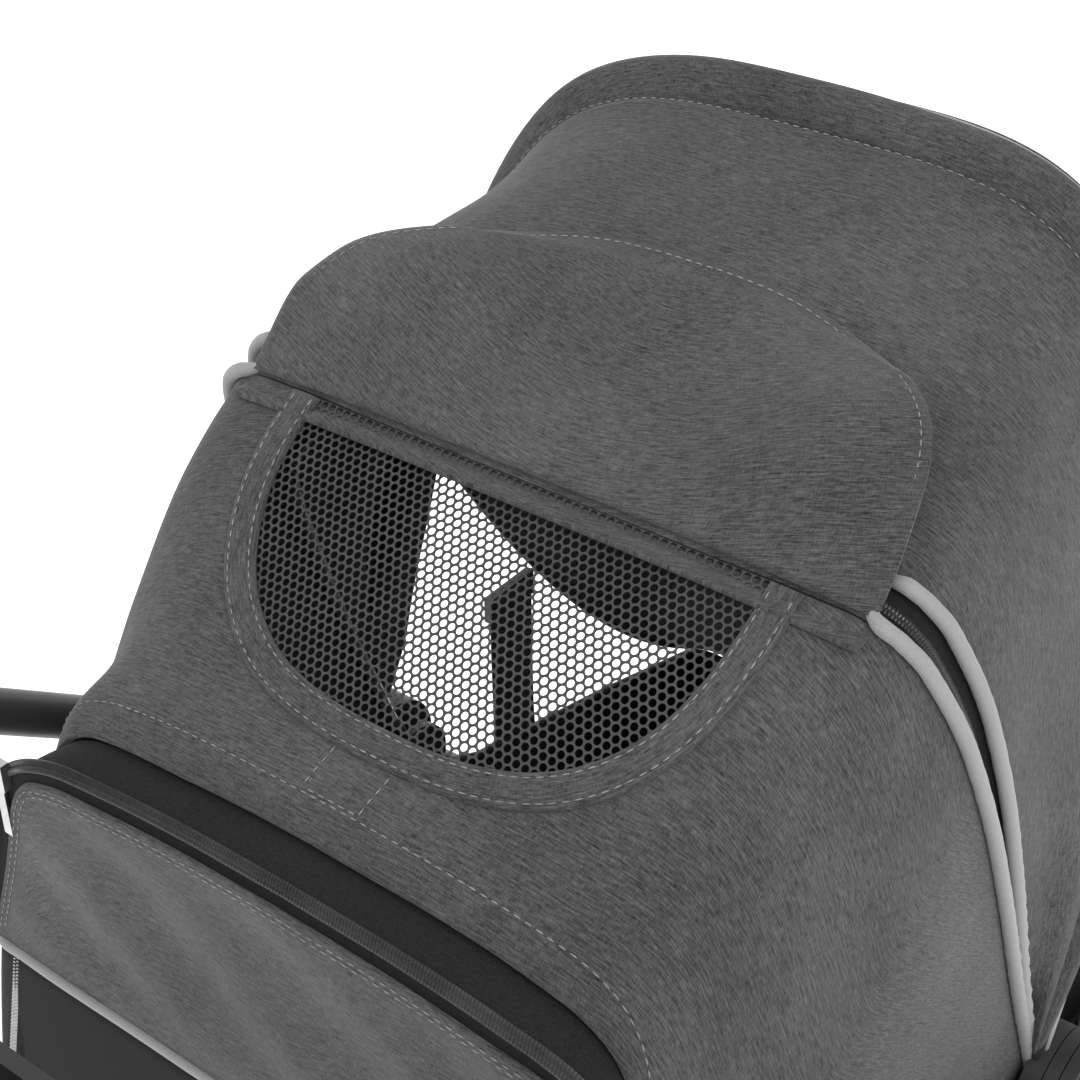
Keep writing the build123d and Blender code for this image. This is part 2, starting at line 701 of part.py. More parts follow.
# Small mirrored pieces share a node, as separate solids
for name, piece in (
    ("hub_plates", hub_plate),
    ("hub_pins", hub_pin),
    ("caster_sockets", caster_socket),
    ("cabin_rails", cabin_rail),
    ("cabin_stays", cabin_stay),
    ("hood_brackets", hood_bracket),
    ("rear_leg_discs", rear_leg_disc),
    ("rear_feet", rear_foot),
    ("handle_discs", handle_disc),
    ("tray_clips", tray_clip),
):
    write(name, group([piece(side) for _, side in SIDES]))

straps = [side_strap(side) for _, side in SIDES]
slider, tab = zipper_slider()
tether_strap, tether_hook = tether()
for name, shape in (
    ("front_crossbar", front_crossbar()),
    ("cabin_crossbars", cabin_crossbars()),
    ("cabin_tub", cabin_tub()),
    ("floor_board", floor_board()),
    ("cabin_pad", cabin_pad()),
    ("tether_strap", tether_strap),
    ("tether_hook", tether_hook),
    ("rear_bow", rear_bow()),
    ("middle_bow", middle_bow()),
    ("hood_panel", hood_panel()),
    ("window_net", window_net()),
    ("rear_panel", rear_panel()),
    ("rear_zipper", rear_zipper()),
    ("zipper_slider", group([slider, tab])),
    ("side_straps", group([strap for strap, _ in straps])),
    ("strap_buckles", group([buckle for _, buckle in straps])),
    ("basket", basket()),
    ("basket_straps", basket_straps()),
    ("rear_crossbar", rear_crossbar()),
    ("rear_axle", rear_axle()),
    ("rear_nuts", rear_nuts()),
    ("brake_bar", brake_bar()),
    ("handle_crossbar", handle_crossbar()),
    ("grip", grip()),
    ("parent_tray", parent_tray()),
    ("rim_bow", rim_bow()),
    ("rim_panel", rim_panel()),
    ("window_flap", window_flap()),
    ("front_cover", front_cover()),
    ("cover_net", cover_net()),
):
    write(name, shape)
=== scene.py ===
import json
import math
import random

import bpy
import numpy as np
from mathutils import Matrix, Vector


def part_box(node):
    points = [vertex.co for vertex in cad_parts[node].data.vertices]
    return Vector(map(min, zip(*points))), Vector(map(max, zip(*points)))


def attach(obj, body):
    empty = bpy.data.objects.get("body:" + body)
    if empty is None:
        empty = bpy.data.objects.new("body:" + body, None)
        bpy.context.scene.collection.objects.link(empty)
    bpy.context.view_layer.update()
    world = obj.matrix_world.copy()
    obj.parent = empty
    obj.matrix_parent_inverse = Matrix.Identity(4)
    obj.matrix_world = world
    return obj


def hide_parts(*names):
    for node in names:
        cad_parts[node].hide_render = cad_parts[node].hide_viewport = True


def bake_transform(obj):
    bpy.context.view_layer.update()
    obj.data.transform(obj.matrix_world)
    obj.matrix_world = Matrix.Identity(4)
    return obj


# Looks for the pet stroller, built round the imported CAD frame.
# Fabric shapes are worked out in millimetres from the hub axis, as in the CAD source,
# and place() turns them into metres in the frame.

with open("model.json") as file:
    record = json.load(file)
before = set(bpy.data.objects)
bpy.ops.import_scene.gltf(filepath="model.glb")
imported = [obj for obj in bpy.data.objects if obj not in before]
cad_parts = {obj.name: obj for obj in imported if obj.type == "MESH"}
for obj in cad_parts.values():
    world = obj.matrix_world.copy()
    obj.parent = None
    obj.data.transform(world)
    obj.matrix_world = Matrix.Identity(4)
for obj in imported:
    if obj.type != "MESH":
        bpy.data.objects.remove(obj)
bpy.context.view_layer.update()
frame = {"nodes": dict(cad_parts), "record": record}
nodes = frame["nodes"]
scene = bpy.context.scene
scene.view_settings.view_transform = "Standard"

HUB = np.array([0.0, -69.75, 580.0])

# Driving sizes of the hood
BRIM = 42.0            # angle above +Y of the rear brim's fold
PIPE_REAR = 68.1
PIPE_FRONT = 71.2
HEM = 100.3            # stitched end of the hood's front panel
RIM = 101.3            # plane of the folding bow
COLUMNS = 91           # points in half an arch


# Curves and surfaces

def lengths(points):
    """Distance along a row of points."""
    steps = np.linalg.norm(np.diff(points, axis=0), axis=1)
    return np.concatenate([[0.0], np.cumsum(steps)])


def hermite(t, p, x):
    """The smooth curve through p at t, read at x."""
    t = np.asarray(t, float)
    p = np.asarray(p, float)
    x = np.clip(np.asarray(x, float), t[0], t[-1])
    slope = np.gradient(p, t, axis=0)
    i = np.clip(np.searchsorted(t, x, side="right") - 1, 0, len(t) - 2)
    h = (t[i + 1] - t[i])[:, None]
    u = ((x - t[i]) / (t[i + 1] - t[i]))[:, None]
    ahead = u * u * (3 - 2 * u)
    return (p[i] * (1 - ahead) + p[i + 1] * ahead
            + slope[i] * h * u * (1 - u) ** 2 + slope[i + 1] * h * u * u * (u - 1))


def even(points, count):
    """Evenly spaced points on the smooth curve through the given ones."""
    p = np.asarray(points, float)
    t = lengths(p)
    q = hermite(t, p, np.linspace(0, t[-1], (len(p) - 1) * 16 + 1))
    s = lengths(q)
    steps = np.linspace(0, s[-1], count)
    return np.stack([np.interp(steps, s, q[:, c]) for c in range(q.shape[1])], 1)


def even_like(values, points, count):
    """Values that belong to points, read at evenly spaced places along them."""
    s = lengths(points)
    return np.stack([np.interp(np.linspace(0, s[-1], count), s, values[:, c])
                     for c in range(values.shape[1])], 1)


def arched(half, top, power):
    """Half of a squared arch as (x, distance from the axis), from the top to the pivot."""
    t = np.linspace(math.pi / 2, 0, 60)
    return even(np.stack([half * np.cos(t) ** (2 / power), top * np.sin(t) ** (2 / power)], 1), COLUMNS)


# Half arches, from the top of the hood to the pivot, as (x, distance from the hub axis)
SADDLE = even([(0, 361), (80, 361), (130, 360.8), (148, 359.8), (158, 356), (167, 348), (175, 331),
               (182, 309), (187, 280), (191, 243), (193.5, 199), (196.5, 100), (199, 40), (200, 0)], COLUMNS)
BRIM_ARCH = even([(0, 363.2), (60, 362.2), (105, 359.3), (124, 356.6), (138, 352), (147, 344), (153, 333),
                  (158, 316), (164, 290), (172, 240), (180, 190), (188, 130), (194, 80), (198, 30),
                  (200, 0)], COLUMNS)
HEM_ARCH = arched(202.0, 421.0, 3.8)

# Half curves at the back of the hood, from the middle to the side, as (x, y, z)
BRIM_LEG = [(0, 270, 243), (60, 270, 241.3), (105, 270, 237), (124, 270, 233), (138, 271, 226),
            (147, 272, 214),
            (152, 274, 200), (158, 278, 180), (166, 283, 155), (177, 288, 128), (189, 290, 104)]
BRIM_EDGE = even(BRIM_LEG + [(194, 270, 92), (195, 200, 68), (195.5, 120, 41), (196, 60, 21), (199, 20, 8),
                             (200, 0, 0)], COLUMNS)
BRIM_LEG = even(BRIM_LEG, COLUMNS)
ZIP_EDGE = even([(0, 286, 233), (60, 286, 231.5), (100, 286, 228), (135, 287, 223), (150, 288, 216.5),
                 (160, 289, 208), (166, 291, 190), (174, 292, 160), (184, 292, 125), (190, 292,
                                                                                      104)], COLUMNS)
PANEL_EDGE = even([(0, 290.5, 226), (60, 290.5, 224.5), (100, 290.5, 221), (130, 290.5, 217), (146, 291, 210),
                   (154, 291, 198), (160, 291.5, 180), (168, 292, 155), (178, 292, 128), (187, 292,
                                                                                          104)], COLUMNS)


def shaped(rear, front, share, top):
    """An arch between two others, with its top at the given height."""
    arch = rear + (front - rear) * share
    arch[:, 1] *= top / arch[0, 1]
    return arch


def ease(x):
    x = np.clip(x, 0.0, 1.0)
    return x * x * (3 - 2 * x)


def swept(arch, angle):
    """An arch turned to its plane: from (x, distance from the axis) to (x, y, z)."""
    turn = math.radians(angle)
    return np.stack([arch[:, 0], arch[:, 1] * math.cos(turn), arch[:, 1] * math.sin(turn)], 1)


class Shell:
    """A surface through half curves that stand at several angles about the hub axis."""

    def __init__(self, angles, curves, ripple=None):
        self.angles = np.array(angles, float)
        self.curves = np.array([c.ravel() for c in curves])
        self.ripple = ripple

    def bare(self, angle, share):
        """Points at an angle, and at a share from -1 at the right pivot to 1 at the left one."""
        angle, share = np.broadcast_arrays(np.asarray(angle, float), np.asarray(share, float))
        flat_angle, flat_share = angle.ravel(), share.ravel()
        rows = hermite(self.angles, self.curves, flat_angle).reshape(-1, COLUMNS, 3)
        k = np.abs(flat_share) * (COLUMNS - 1)
        i = np.clip(k.astype(int), 0, COLUMNS - 2)
        u = (k - i)[:, None]
        n = np.arange(len(rows))
        out = rows[n, i] * (1 - u) + rows[n, i + 1] * u
        out[:, 0] *= np.sign(flat_share)
        return out.reshape(angle.shape + (3,))

    def normal(self, angle, share):
        step = 0.25
        across = self.bare(angle, share + 0.004) - self.bare(angle, share - 0.004)
        around = self.bare(angle + step, share) - self.bare(angle - step, share)
        n = np.cross(around, across)
        n /= np.linalg.norm(n, axis=-1, keepdims=True) + 1e-9
        return n

    def point(self, angle, share, lift=0.0):
        """Points on the rippled cloth, lifted off it by some millimetres."""
        angle, share = np.broadcast_arrays(np.asarray(angle, float), np.asarray(share, float))
        rise = np.asarray(lift, float)
        if self.ripple:
            rise = rise + self.ripple(angle, share)
        n = self.normal(np.clip(angle, self.angles[0] + 0.3, self.angles[-1] - 0.3),
                        np.clip(share, -0.99, 0.99))
        return self.bare(angle, share) + n * np.broadcast_to(rise, angle.shape)[..., None]

    def share_at(self, x, angle):
        """The share at which the arch passes over x, on its top."""
        x, angle = np.broadcast_arrays(np.asarray(x, float), np.asarray(angle, float))
        rows = hermite(self.angles, self.curves, angle.ravel()).reshape(-1, COLUMNS, 3)
        found = [np.interp(abs(v), row[:, 0], np.linspace(0, 1, COLUMNS)) for v, row in zip(x.ravel(), rows)]
        return (np.array(found) * np.sign(x.ravel())).reshape(x.shape)


def waves(seed, count, low, high):
    """A smooth uneven wave of about unit height."""
    draw = random.Random(seed)
    parts = [(draw.uniform(low, high), draw.uniform(0, 2 * math.pi), draw.uniform(0.5, 1.0))
             for _ in range(count)]
    total = math.sqrt(sum(a * a for _, _, a in parts) / 2)

    def wave(x):
        return sum(a * np.sin(k * x + f) for k, f, a in parts) / total
    return wave


rear_wave = waves(3, 5, 14.0, 46.0)
rear_swell = waves(4, 4, 3.0, 10.0)
front_wave = waves(5, 5, 12.0, 34.0)
front_swell = waves(6, 4, 3.0, 9.0)


def rear_ripple(angle, share):
    """Soft folds that run down to the brim, and a slow swell over the back of the hood."""
    near_brim = np.exp(-np.abs(angle - 45.5) / 5.0)
    gone = ease((np.abs(share) - 0.02) / 0.1) * 0.3 + 0.7
    fade = ease((1 - np.abs(share)) / 0.35) * ease((PIPE_REAR - angle) / 3.0)
    folds = 1.15 * near_brim * rear_wave(share + (angle - BRIM) * 0.003) * gone
    return fade * (folds + 0.9 * rear_swell(share * 1.3 + angle * 0.02))


def front_ripple(angle, share):
    """Soft folds between the piping and the rim."""
    band = ease((angle - PIPE_FRONT - 0.5) / 6.0) * ease((HEM + 0.5 - angle) / 4.0)
    side = ease((np.abs(share) - 0.3) / 0.2)
    lean = 1.4 * front_swell(share * 1.6 + angle * 0.05) * side
    return band * ease((1 - np.abs(share)) / 0.3) * (0.9 * front_wave(share + angle * 0.004) + lean)


def leg_slack(points, amount):
    """The sides of the hood's front bow back near the hubs. points are changed in place."""
    reach = np.hypot(points[..., 1], points[..., 2])
    table = np.array([(0, 0, 0), (25, 3, 14), (50, 6, 25), (71, 7, 26), (104, 8, 22), (143, 8, 19),
                      (174, 8, 16),
                      (204, 8, 13), (240, 6, 7), (290, 2, 2), (340, 0, 0), (500, 0, 0)], float)
    moved = hermite(table[:, 0], table[:, 1:], reach.ravel()).reshape(reach.shape + (2,))
    moved = moved * np.asarray(amount, float)[..., None] * ease((np.abs(points[..., :1]) - 150.0) / 40.0)
    points[..., 0] += np.sign(points[..., 0]) * moved[..., 0]
    points[..., 1] += moved[..., 1]
    return points


def rear_shell():
    tops = [(42.0, 363.2), (44.4, 365.6), (48.4, 354.6), (55.0, 353.0), (62.0, 356.3), (PIPE_REAR, 361.0)]
    flared = BRIM_EDGE - swept(BRIM_ARCH, BRIM)
    curves = []
    for angle, top in tops:
        share = (angle - BRIM) / (PIPE_REAR - BRIM)
        curves.append(swept(shaped(BRIM_ARCH, SADDLE, ease(share), top), angle) + flared * (1 - share))
    return Shell([a for a, _ in tops], curves, rear_ripple)


def front_shell():
    tops = [(PIPE_FRONT, 362.0), (76.0, 365.0), (80.0, 369.0), (84.0, 376.5), (88.0, 385.0), (94.0, 398.0),
            (97.0, 408.0), (HEM, 420.8)]
    curves = []
    for angle, top in tops:
        share = ease((angle - 73.0) / (HEM - 75.0))
        curves.append(leg_slack(swept(shaped(SADDLE, HEM_ARCH, share, top), angle), share))
    return Shell([a for a, _ in tops], curves, front_ripple)


REAR = rear_shell()
FRONT = front_shell()
GUSSET = Shell([PIPE_REAR, PIPE_FRONT], [swept(SADDLE, PIPE_REAR),
                                         swept(shaped(SADDLE, SADDLE, 0, 362.0), PIPE_FRONT)])


# Materials

def node_tree(name):
    material = bpy.data.materials.new(name)
    material.use_nodes = True
    tree = material.node_tree
    return material, tree.nodes, tree.links, tree.nodes["Principled BSDF"]


def noise(nodes_, links, vector, scale, detail=2.0, roughness=0.6):
    texture = nodes_.new("ShaderNodeTexNoise")
    texture.inputs["Scale"].default_value = scale
    texture.inputs["Detail"].default_value = detail
    texture.inputs["Roughness"].default_value = roughness
    links.new(vector, texture.inputs["Vector"])
    return texture.outputs["Fac"]


def stretched(nodes_, links, source, size):
    mapping = nodes_.new("ShaderNodeMapping")
    mapping.inputs["Scale"].default_value = size
    links.new(source, mapping.inputs["Vector"])
    return mapping.outputs["Vector"]


def mixed(nodes_, links, a, b, share):
    mix = nodes_.new("ShaderNodeMix")
    mix.data_type = "FLOAT"
    mix.inputs[0].default_value = share
    links.new(a, mix.inputs[2])
    links.new(b, mix.inputs[3])
    return mix.outputs[0]


def ramp(nodes_, links, value, stops):
    band = nodes_.new("ShaderNodeValToRGB")
    band.color_ramp.elements[0].position = stops[0][0]
    band.color_ramp.elements[1].position = stops[-1][0]
    for stop in stops[1:-1]:
        band.color_ramp.elements.new(stop[0])
    for element, (_, level) in zip(band.color_ramp.elements, stops):
        shade = level if isinstance(level, tuple) else (level, level, level)
        element.color = (*shade, 1.0)
    links.new(value, band.inputs["Fac"])
    return band.outputs["Color"]


def bumped(nodes_, links, shader, height, distance, strength=1.0):
    bump = nodes_.new("ShaderNodeBump")
    bump.inputs["Distance"].default_value = distance
    bump.inputs["Strength"].default_value = strength
    links.new(height, bump.inputs["Height"])
    links.new(bump.outputs["Normal"], shader.inputs["Normal"])


def woven(name, dark, light, coordinate="UV", thread=0.00055, slub=0.004, contrast=1.0, sheen=0.12,
          roughness=0.9):
    """Heather cloth: fine threads both ways with longer slubs along the width."""
    material, made, links, shader = node_tree(name)
    source = made.new("ShaderNodeTexCoord").outputs[coordinate]
    across = noise(made, links, stretched(made, links, source, (1 / slub, 1 / thread, 1 / thread)), 1.0)
    down = noise(made, links, stretched(made, links, source, (1 / thread, 1 / slub / 0.8, 1 / slub)), 1.0)
    slubs = noise(made, links, stretched(made, links, source,
                                         (1 / slub / 2.6, 1 / thread / 1.8, 1 / thread)), 1.0)
    threads = mixed(made, links, mixed(made, links, across, down, 0.42), slubs, 0.34)
    cloud = noise(made, links, source, 11.0, 3.0)
    tone = mixed(made, links, threads, cloud, 0.16)
    spread = 0.13 / contrast
    colour = ramp(made, links, tone, [(0.5 - spread, dark),
                                      (0.5, tuple((d + l) / 2 * 0.94 for d, l in zip(dark, light))),
                                      (0.5 + spread, light)])
    links.new(colour, shader.inputs["Base Color"])
    shader.inputs["Roughness"].default_value = roughness
    shader.inputs["Sheen Weight"].default_value = sheen
    shader.inputs["Sheen Roughness"].default_value = 0.5
    shader.inputs["Specular IOR Level"].default_value = 0.2
    bumped(made, links, shader, threads, 0.00025, 0.6)
    return material


def speckled(name, dark, light, scale=40.0, roughness=(0.4, 0.5), metal=0.0, bump=0.00005, fine=900.0,
             coat=0.0):
    """Moulded plastic, rubber or painted metal with fine grain and slow variation."""
    material, made, links, shader = node_tree(name)
    source = made.new("ShaderNodeTexCoord").outputs["Object"]
    cloud = noise(made, links, source, scale, 3.0)
    grain = noise(made, links, source, fine, 2.0)
    links.new(ramp(made, links, mixed(made, links, cloud, grain, 0.3), [(0.35, dark), (0.65, light)]),
              shader.inputs["Base Color"])
    links.new(ramp(made, links, cloud, [(0.3, roughness[0]), (0.7, roughness[1])]),
              shader.inputs["Roughness"])
    shader.inputs["Metallic"].default_value = metal
    shader.inputs["Coat Weight"].default_value = coat
    bumped(made, links, shader, grain, bump, 0.5)
    return material


def ribbed(name, dark, light, axis, pitch, roughness=0.75, sheen=0.05):
    """Webbing or ribbed rubber: fine ribs along one axis."""
    material, made, links, shader = node_tree(name)
    source = made.new("ShaderNodeTexCoord").outputs["Object"]
    wave = made.new("ShaderNodeTexWave")
    wave.bands_direction = axis
    wave.inputs["Scale"].default_value = 0.314 / pitch
    wave.inputs["Distortion"].default_value = 0.4
    links.new(source, wave.inputs["Vector"])
    grain = noise(made, links, source, 700.0, 2.0)
    tone = mixed(made, links, wave.outputs["Fac"], grain, 0.4)
    links.new(ramp(made, links, tone, [(0.25, dark), (0.75, light)]), shader.inputs["Base Color"])
    shader.inputs["Roughness"].default_value = roughness
    shader.inputs["Sheen Weight"].default_value = sheen
    bumped(made, links, shader, wave.outputs["Fac"], 0.0003, 0.7)
    return material


HEATHER = woven("heather_polyester", (0.013, 0.0132, 0.0137), (0.106, 0.1065, 0.108), contrast=1.15)
# The heather cloth again, darkened with painted shade, for the sides of the cloth that face into the hood and
# under the flap
HEATHER_PAINTED_SHADE = woven("heather_painted_shade", (0.006, 0.006, 0.0062), (0.024, 0.024, 0.025))
TUB_CLOTH = woven("tub_polyester", (0.006, 0.006, 0.0062), (0.017, 0.017, 0.0175), contrast=0.6, slub=0.0015,
                  sheen=0.05)
LINING = woven("lining_polyester", (0.008, 0.008, 0.0085), (0.02, 0.02, 0.021), contrast=0.7)
PAD_CLOTH = woven("pad_cloth", (0.045, 0.046, 0.048), (0.13, 0.132, 0.136), "Object", slub=0.003)
PIPING = woven("silver_piping", (0.22, 0.22, 0.224), (0.30, 0.30, 0.304), contrast=0.6, slub=0.0012,
               sheen=0.2, roughness=0.6)
NET = speckled("net_polyester", (0.022, 0.022, 0.023), (0.044, 0.044, 0.045), roughness=(0.6, 0.75))
THREAD = speckled("stitch_thread", (0.17, 0.17, 0.17), (0.27, 0.27, 0.27), roughness=(0.6, 0.7))
TAPE = woven("zipper_tape", (0.005, 0.005, 0.0052), (0.020, 0.020, 0.0205), slub=0.0012, sheen=0.04)
COIL = speckled("zipper_coil", (0.030, 0.030, 0.030), (0.06, 0.06, 0.06), roughness=(0.25, 0.35))
TEETH = speckled("zipper_teeth", (0.30, 0.30, 0.30), (0.45, 0.45, 0.45), roughness=(0.35, 0.5), metal=0.6)
WEBBING = ribbed("black_webbing", (0.010, 0.010, 0.0105), (0.03, 0.03, 0.031), "Z", 0.0016)
TUBE = speckled("powder_coated_tube", (0.028, 0.028, 0.030), (0.045, 0.045, 0.048), 25.0, (0.38, 0.5), 0.3,
                coat=0.1)
STEEL = speckled("brushed_steel", (0.42, 0.42, 0.43), (0.60, 0.60, 0.61), 60.0, (0.25, 0.4), 1.0)
PLASTIC = speckled("black_plastic", (0.012, 0.012, 0.0125), (0.022, 0.022, 0.023), 50.0, (0.42, 0.58))
WHEEL = speckled("grey_wheel_plastic", (0.035, 0.035, 0.037), (0.055, 0.055, 0.058), 60.0, (0.4, 0.55))
RUBBER = ribbed("tyre_rubber", (0.012, 0.012, 0.012), (0.022, 0.021, 0.021), "X", 0.004, 0.85, 0.0)
FOAM = speckled("grip_foam", (0.012, 0.012, 0.0125), (0.026, 0.026, 0.027), 90.0, (0.8, 0.95), 0.0, 0.0004,
                1400.0)
BOARD = speckled("board", (0.02, 0.02, 0.02), (0.04, 0.04, 0.04), 12.0, (0.6, 0.8))
BUCKLE = speckled("buckle_plastic", (0.014, 0.014, 0.015), (0.03, 0.03, 0.031), 70.0, (0.35, 0.5))


# Meshes

def place(points):
    """From millimetres about the hub axis to metres in the frame."""
    return (np.asarray(points, float).reshape(-1, 3) + HUB) / 1000.0


def piece(name, points, faces, material, body, uv=None, inner=None, thick=0.0, offset=-1.0,
          flat=False):
    """A mesh piece that rides on a body. inner is the material of a thickened sheet's other side."""
    data = bpy.data.meshes.new(name)
    data.from_pydata(place(points).tolist(), [], [list(map(int, f)) for f in faces])
    data.materials.append(material)
    if inner:
        data.materials.append(inner)
    if uv is not None:
        layer = data.uv_layers.new(name="cloth")
        corners = np.zeros(len(data.loops), np.int64)
        data.loops.foreach_get("vertex_index", corners)
        layer.data.foreach_set("uv", (np.asarray(uv, float).reshape(-1, 2) / 1000.0)[corners].ravel())
    if not flat:
        data.polygons.foreach_set("use_smooth", np.ones(len(data.polygons), bool))
    data.update()
    made = bpy.data.objects.new(name, data)
    scene.collection.objects.link(made)
    if thick:
        layer = made.modifiers.new("thickness", "SOLIDIFY")
        layer.thickness = thick / 1000.0
        layer.offset = offset
        if inner:
            layer.material_offset = 1
            layer.material_offset_rim = 0
    if body:
        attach(made, body)
    return made


def grid_faces(rows, columns, flip=False, closed=False, keep=None):
    """Quads of a grid. closed joins the last column to the first; keep says which quads stay."""
    i, j = np.meshgrid(np.arange(rows - 1), np.arange(columns if closed else columns - 1), indexing="ij")
    if keep is not None:
        i, j = i[keep], j[keep]
    after = (j + 1) % columns
    quads = np.stack([i * columns + j, i * columns + after, (i + 1) * columns + after, (i + 1) * columns
                      + j], -1)
    quads = quads.reshape(-1, 4)
    return quads[:, ::-1] if flip else quads


def cloth_uv(points):
    """Flat cloth coordinates of a grid: along each row, and down each column from the middle row."""
    middle = points[len(points) // 2]
    along = lengths(middle)
    along = along - along[len(along) // 2]
    steps = np.linalg.norm(np.diff(points, axis=0), axis=2)
    down = np.concatenate([np.zeros((1, points.shape[1])), np.cumsum(steps, 0)])
    down -= down[-1:] / 2
    return np.stack([np.broadcast_to(along, down.shape), down], -1)


def cloth(name, points, material, body, inner=None, thick=1.2, flip=False, keep=None, offset=-1.0):
    faces = grid_faces(*points.shape[:2], flip=flip, keep=keep)
    used = np.unique(faces)
    index = np.zeros(points.shape[0] * points.shape[1], int)
    index[used] = np.arange(len(used))
    return piece(name, points.reshape(-1, 3)[used], index[faces], material, body,
                 cloth_uv(points).reshape(-1, 2)[used], inner, thick, offset)


def frames_along(path):
    """Two directions across a path at each of its points."""
    path = np.asarray(path, float)
    ahead = np.gradient(path, axis=0)
    ahead /= np.linalg.norm(ahead, axis=1, keepdims=True) + 1e-12
    side = np.zeros_like(path)
    seed = np.array([0.0, 0.0, 1.0]) if abs(ahead[0][2]) < 0.9 else np.array([1.0, 0.0, 0.0])
    for k, a in enumerate(ahead):
        s = seed - a * (seed @ a)
        side[k] = s / np.linalg.norm(s)
        seed = side[k]
    return side, np.cross(ahead, side)


def tube_grid(path, radius, sides=12, bump=None):
    """Rings round a path. radius is one number or one for each point, bump(s, turn) adds to it."""
    path = np.asarray(path, float)
    side, up = frames_along(path)
    turn = np.linspace(0, 2 * math.pi, sides, endpoint=False)
    s = lengths(path)
    r = np.broadcast_to(np.asarray(radius, float), (len(path),))[:, None] * np.ones(sides)
    if bump:
        r = r + bump(s[:, None], turn[None, :])
    around = side[:, None] * np.cos(turn)[:, None] + up[:, None] * np.sin(turn)[:, None]
    rings = path[:, None] + around * r[..., None]
    uv = np.stack(np.broadcast_arrays(s[:, None], (turn * 3.0)[None, :]), -1)
    return rings, uv


def tube(name, path, radius, material, body, sides=12, bump=None):
    rings, uv = tube_grid(path, radius, sides, bump)
    faces = grid_faces(*rings.shape[:2], closed=True).tolist()
    faces += [list(range(sides))[::-1], [len(rings) * sides - sides + k for k in range(sides)]]
    return piece(name, rings, faces, material, body, uv)


def stitches(name, path, body, material=THREAD, dash=3.2, gap=1.9, radius=0.30,
             shown=None):
    """Dashed stitching along a path that lies on the cloth."""
    path = np.asarray(path, float)
    s = lengths(path)
    points, faces = [], []
    ring = 5
    turn = np.linspace(0, 2 * math.pi, ring, endpoint=False)
    start = gap
    while start + dash < s[-1]:
        at = np.linspace(start, start + dash, 4)
        line = np.stack([np.interp(at, s, path[:, c]) for c in range(3)], 1)
        side, up = frames_along(line)
        first = len(points)
        for k, share in enumerate((0.35, 1.0, 1.0, 0.35)):
            points += list(line[k] + radius * share * (side[k] * np.cos(turn)[:, None]
                                                       + up[k] * np.sin(turn)[:, None]))
        for k in range(3):
            a = first + k * ring
            b = a + ring
            faces += [[a + j, a + (j + 1) % ring, b + (j + 1) % ring, b + j] for j in range(ring)]
        start += dash + gap
    return piece(name, points, faces, material, body)


def coil(name, path, up, body, width=3.2, height=1.3, pitch=1.25, material=COIL):
    """A closed coil zipper: two rows of teeth that meet in a groove."""
    path = np.asarray(path, float)
    s = lengths(path)
    count = int(s[-1] / pitch * 3)
    at = np.linspace(0, s[-1], count)
    line = np.stack([np.interp(at, s, path[:, c]) for c in range(3)], 1)
    rise = np.stack([np.interp(at, s, np.asarray(up, float)[:, c]) for c in range(3)], 1)
    rise /= np.linalg.norm(rise, axis=1, keepdims=True)
    ahead = np.gradient(line, axis=0)
    across = np.cross(ahead, rise)
    across /= np.linalg.norm(across, axis=1, keepdims=True)
    profile = [(-1.0, 0.0), (-0.85, 0.75), (-0.5, 1.0), (-0.15, 0.6), (0.0, 0.25), (0.15, 0.6), (0.5, 1.0),
               (0.85, 0.75), (1.0, 0.0)]
    tooth = np.array([1.0, 0.35, 0.35])
    grid = np.stack([line + across * (x * width)
                     + rise * (z * height * tooth[(np.arange(count)
                                                   + (x > 0)) % 3])[:, None] for x, z in profile], 1)
    return piece(name, grid, grid_faces(*grid.shape[:2]), material, body, flat=True)


# The camera

def make_camera():
    data = bpy.data.cameras.new("camera")
    data.sensor_width = 36.0
    data.lens = 63.4
    camera = bpy.data.objects.new("camera", data)
    scene.collection.objects.link(camera)
    ahead = Vector((0.4989, -0.6621, -0.5592)).normalized()
    right = ahead.cross(Vector((0, 0, 1))).normalized()
    up = right.cross(ahead)
    turn = Matrix((right, up, -ahead)).transposed().to_4x4()
    camera.matrix_world = Matrix.Translation((-0.3853, 0.5692, 1.3162)) @ turn
    scene.camera = camera


make_camera()


# The hood's back, with its window

FLAP_LINE = (134.0, 339.0)
FLAP_EDGE = (16.0, 389.0)
FLAP_HALF = 153.0
FLAP_STAND = 17.0
FOLD_ANGLE = math.degrees(math.atan2(FLAP_LINE[1], FLAP_LINE[0]))
WINDOW_HALF = 111.5
WINDOW_DEPTH = 112.0
BINDING = 14.0
PATCH_HALF = 14.3
PATCH_DEPTH = 21.0
STITCH_BACK = 17.0     # brim stitch, from the brim's fold
STEP_DROP = 6.2        # millimetres of cloth in one degree, above the flap's fold

BACK_ANGLES = np.linspace(FOLD_ANGLE - 0.4, BRIM, 120)
BACK_DROP = lengths(REAR.bare(BACK_ANGLES, np.zeros(120)))


def on_back(across, drop, lift=0.0):
    """Points on the hood's back: across from the middle, and down from the flap's fold."""
    across, drop = np.asarray(across, float), np.asarray(drop, float)
    angle = np.interp(drop, BACK_DROP, BACK_ANGLES)
    angle = np.where(drop < 0, BACK_ANGLES[0] - drop / STEP_DROP, angle)
    angle = np.minimum(angle, PIPE_REAR + 0.5)
    return REAR.point(angle, REAR.share_at(across, angle), lift)


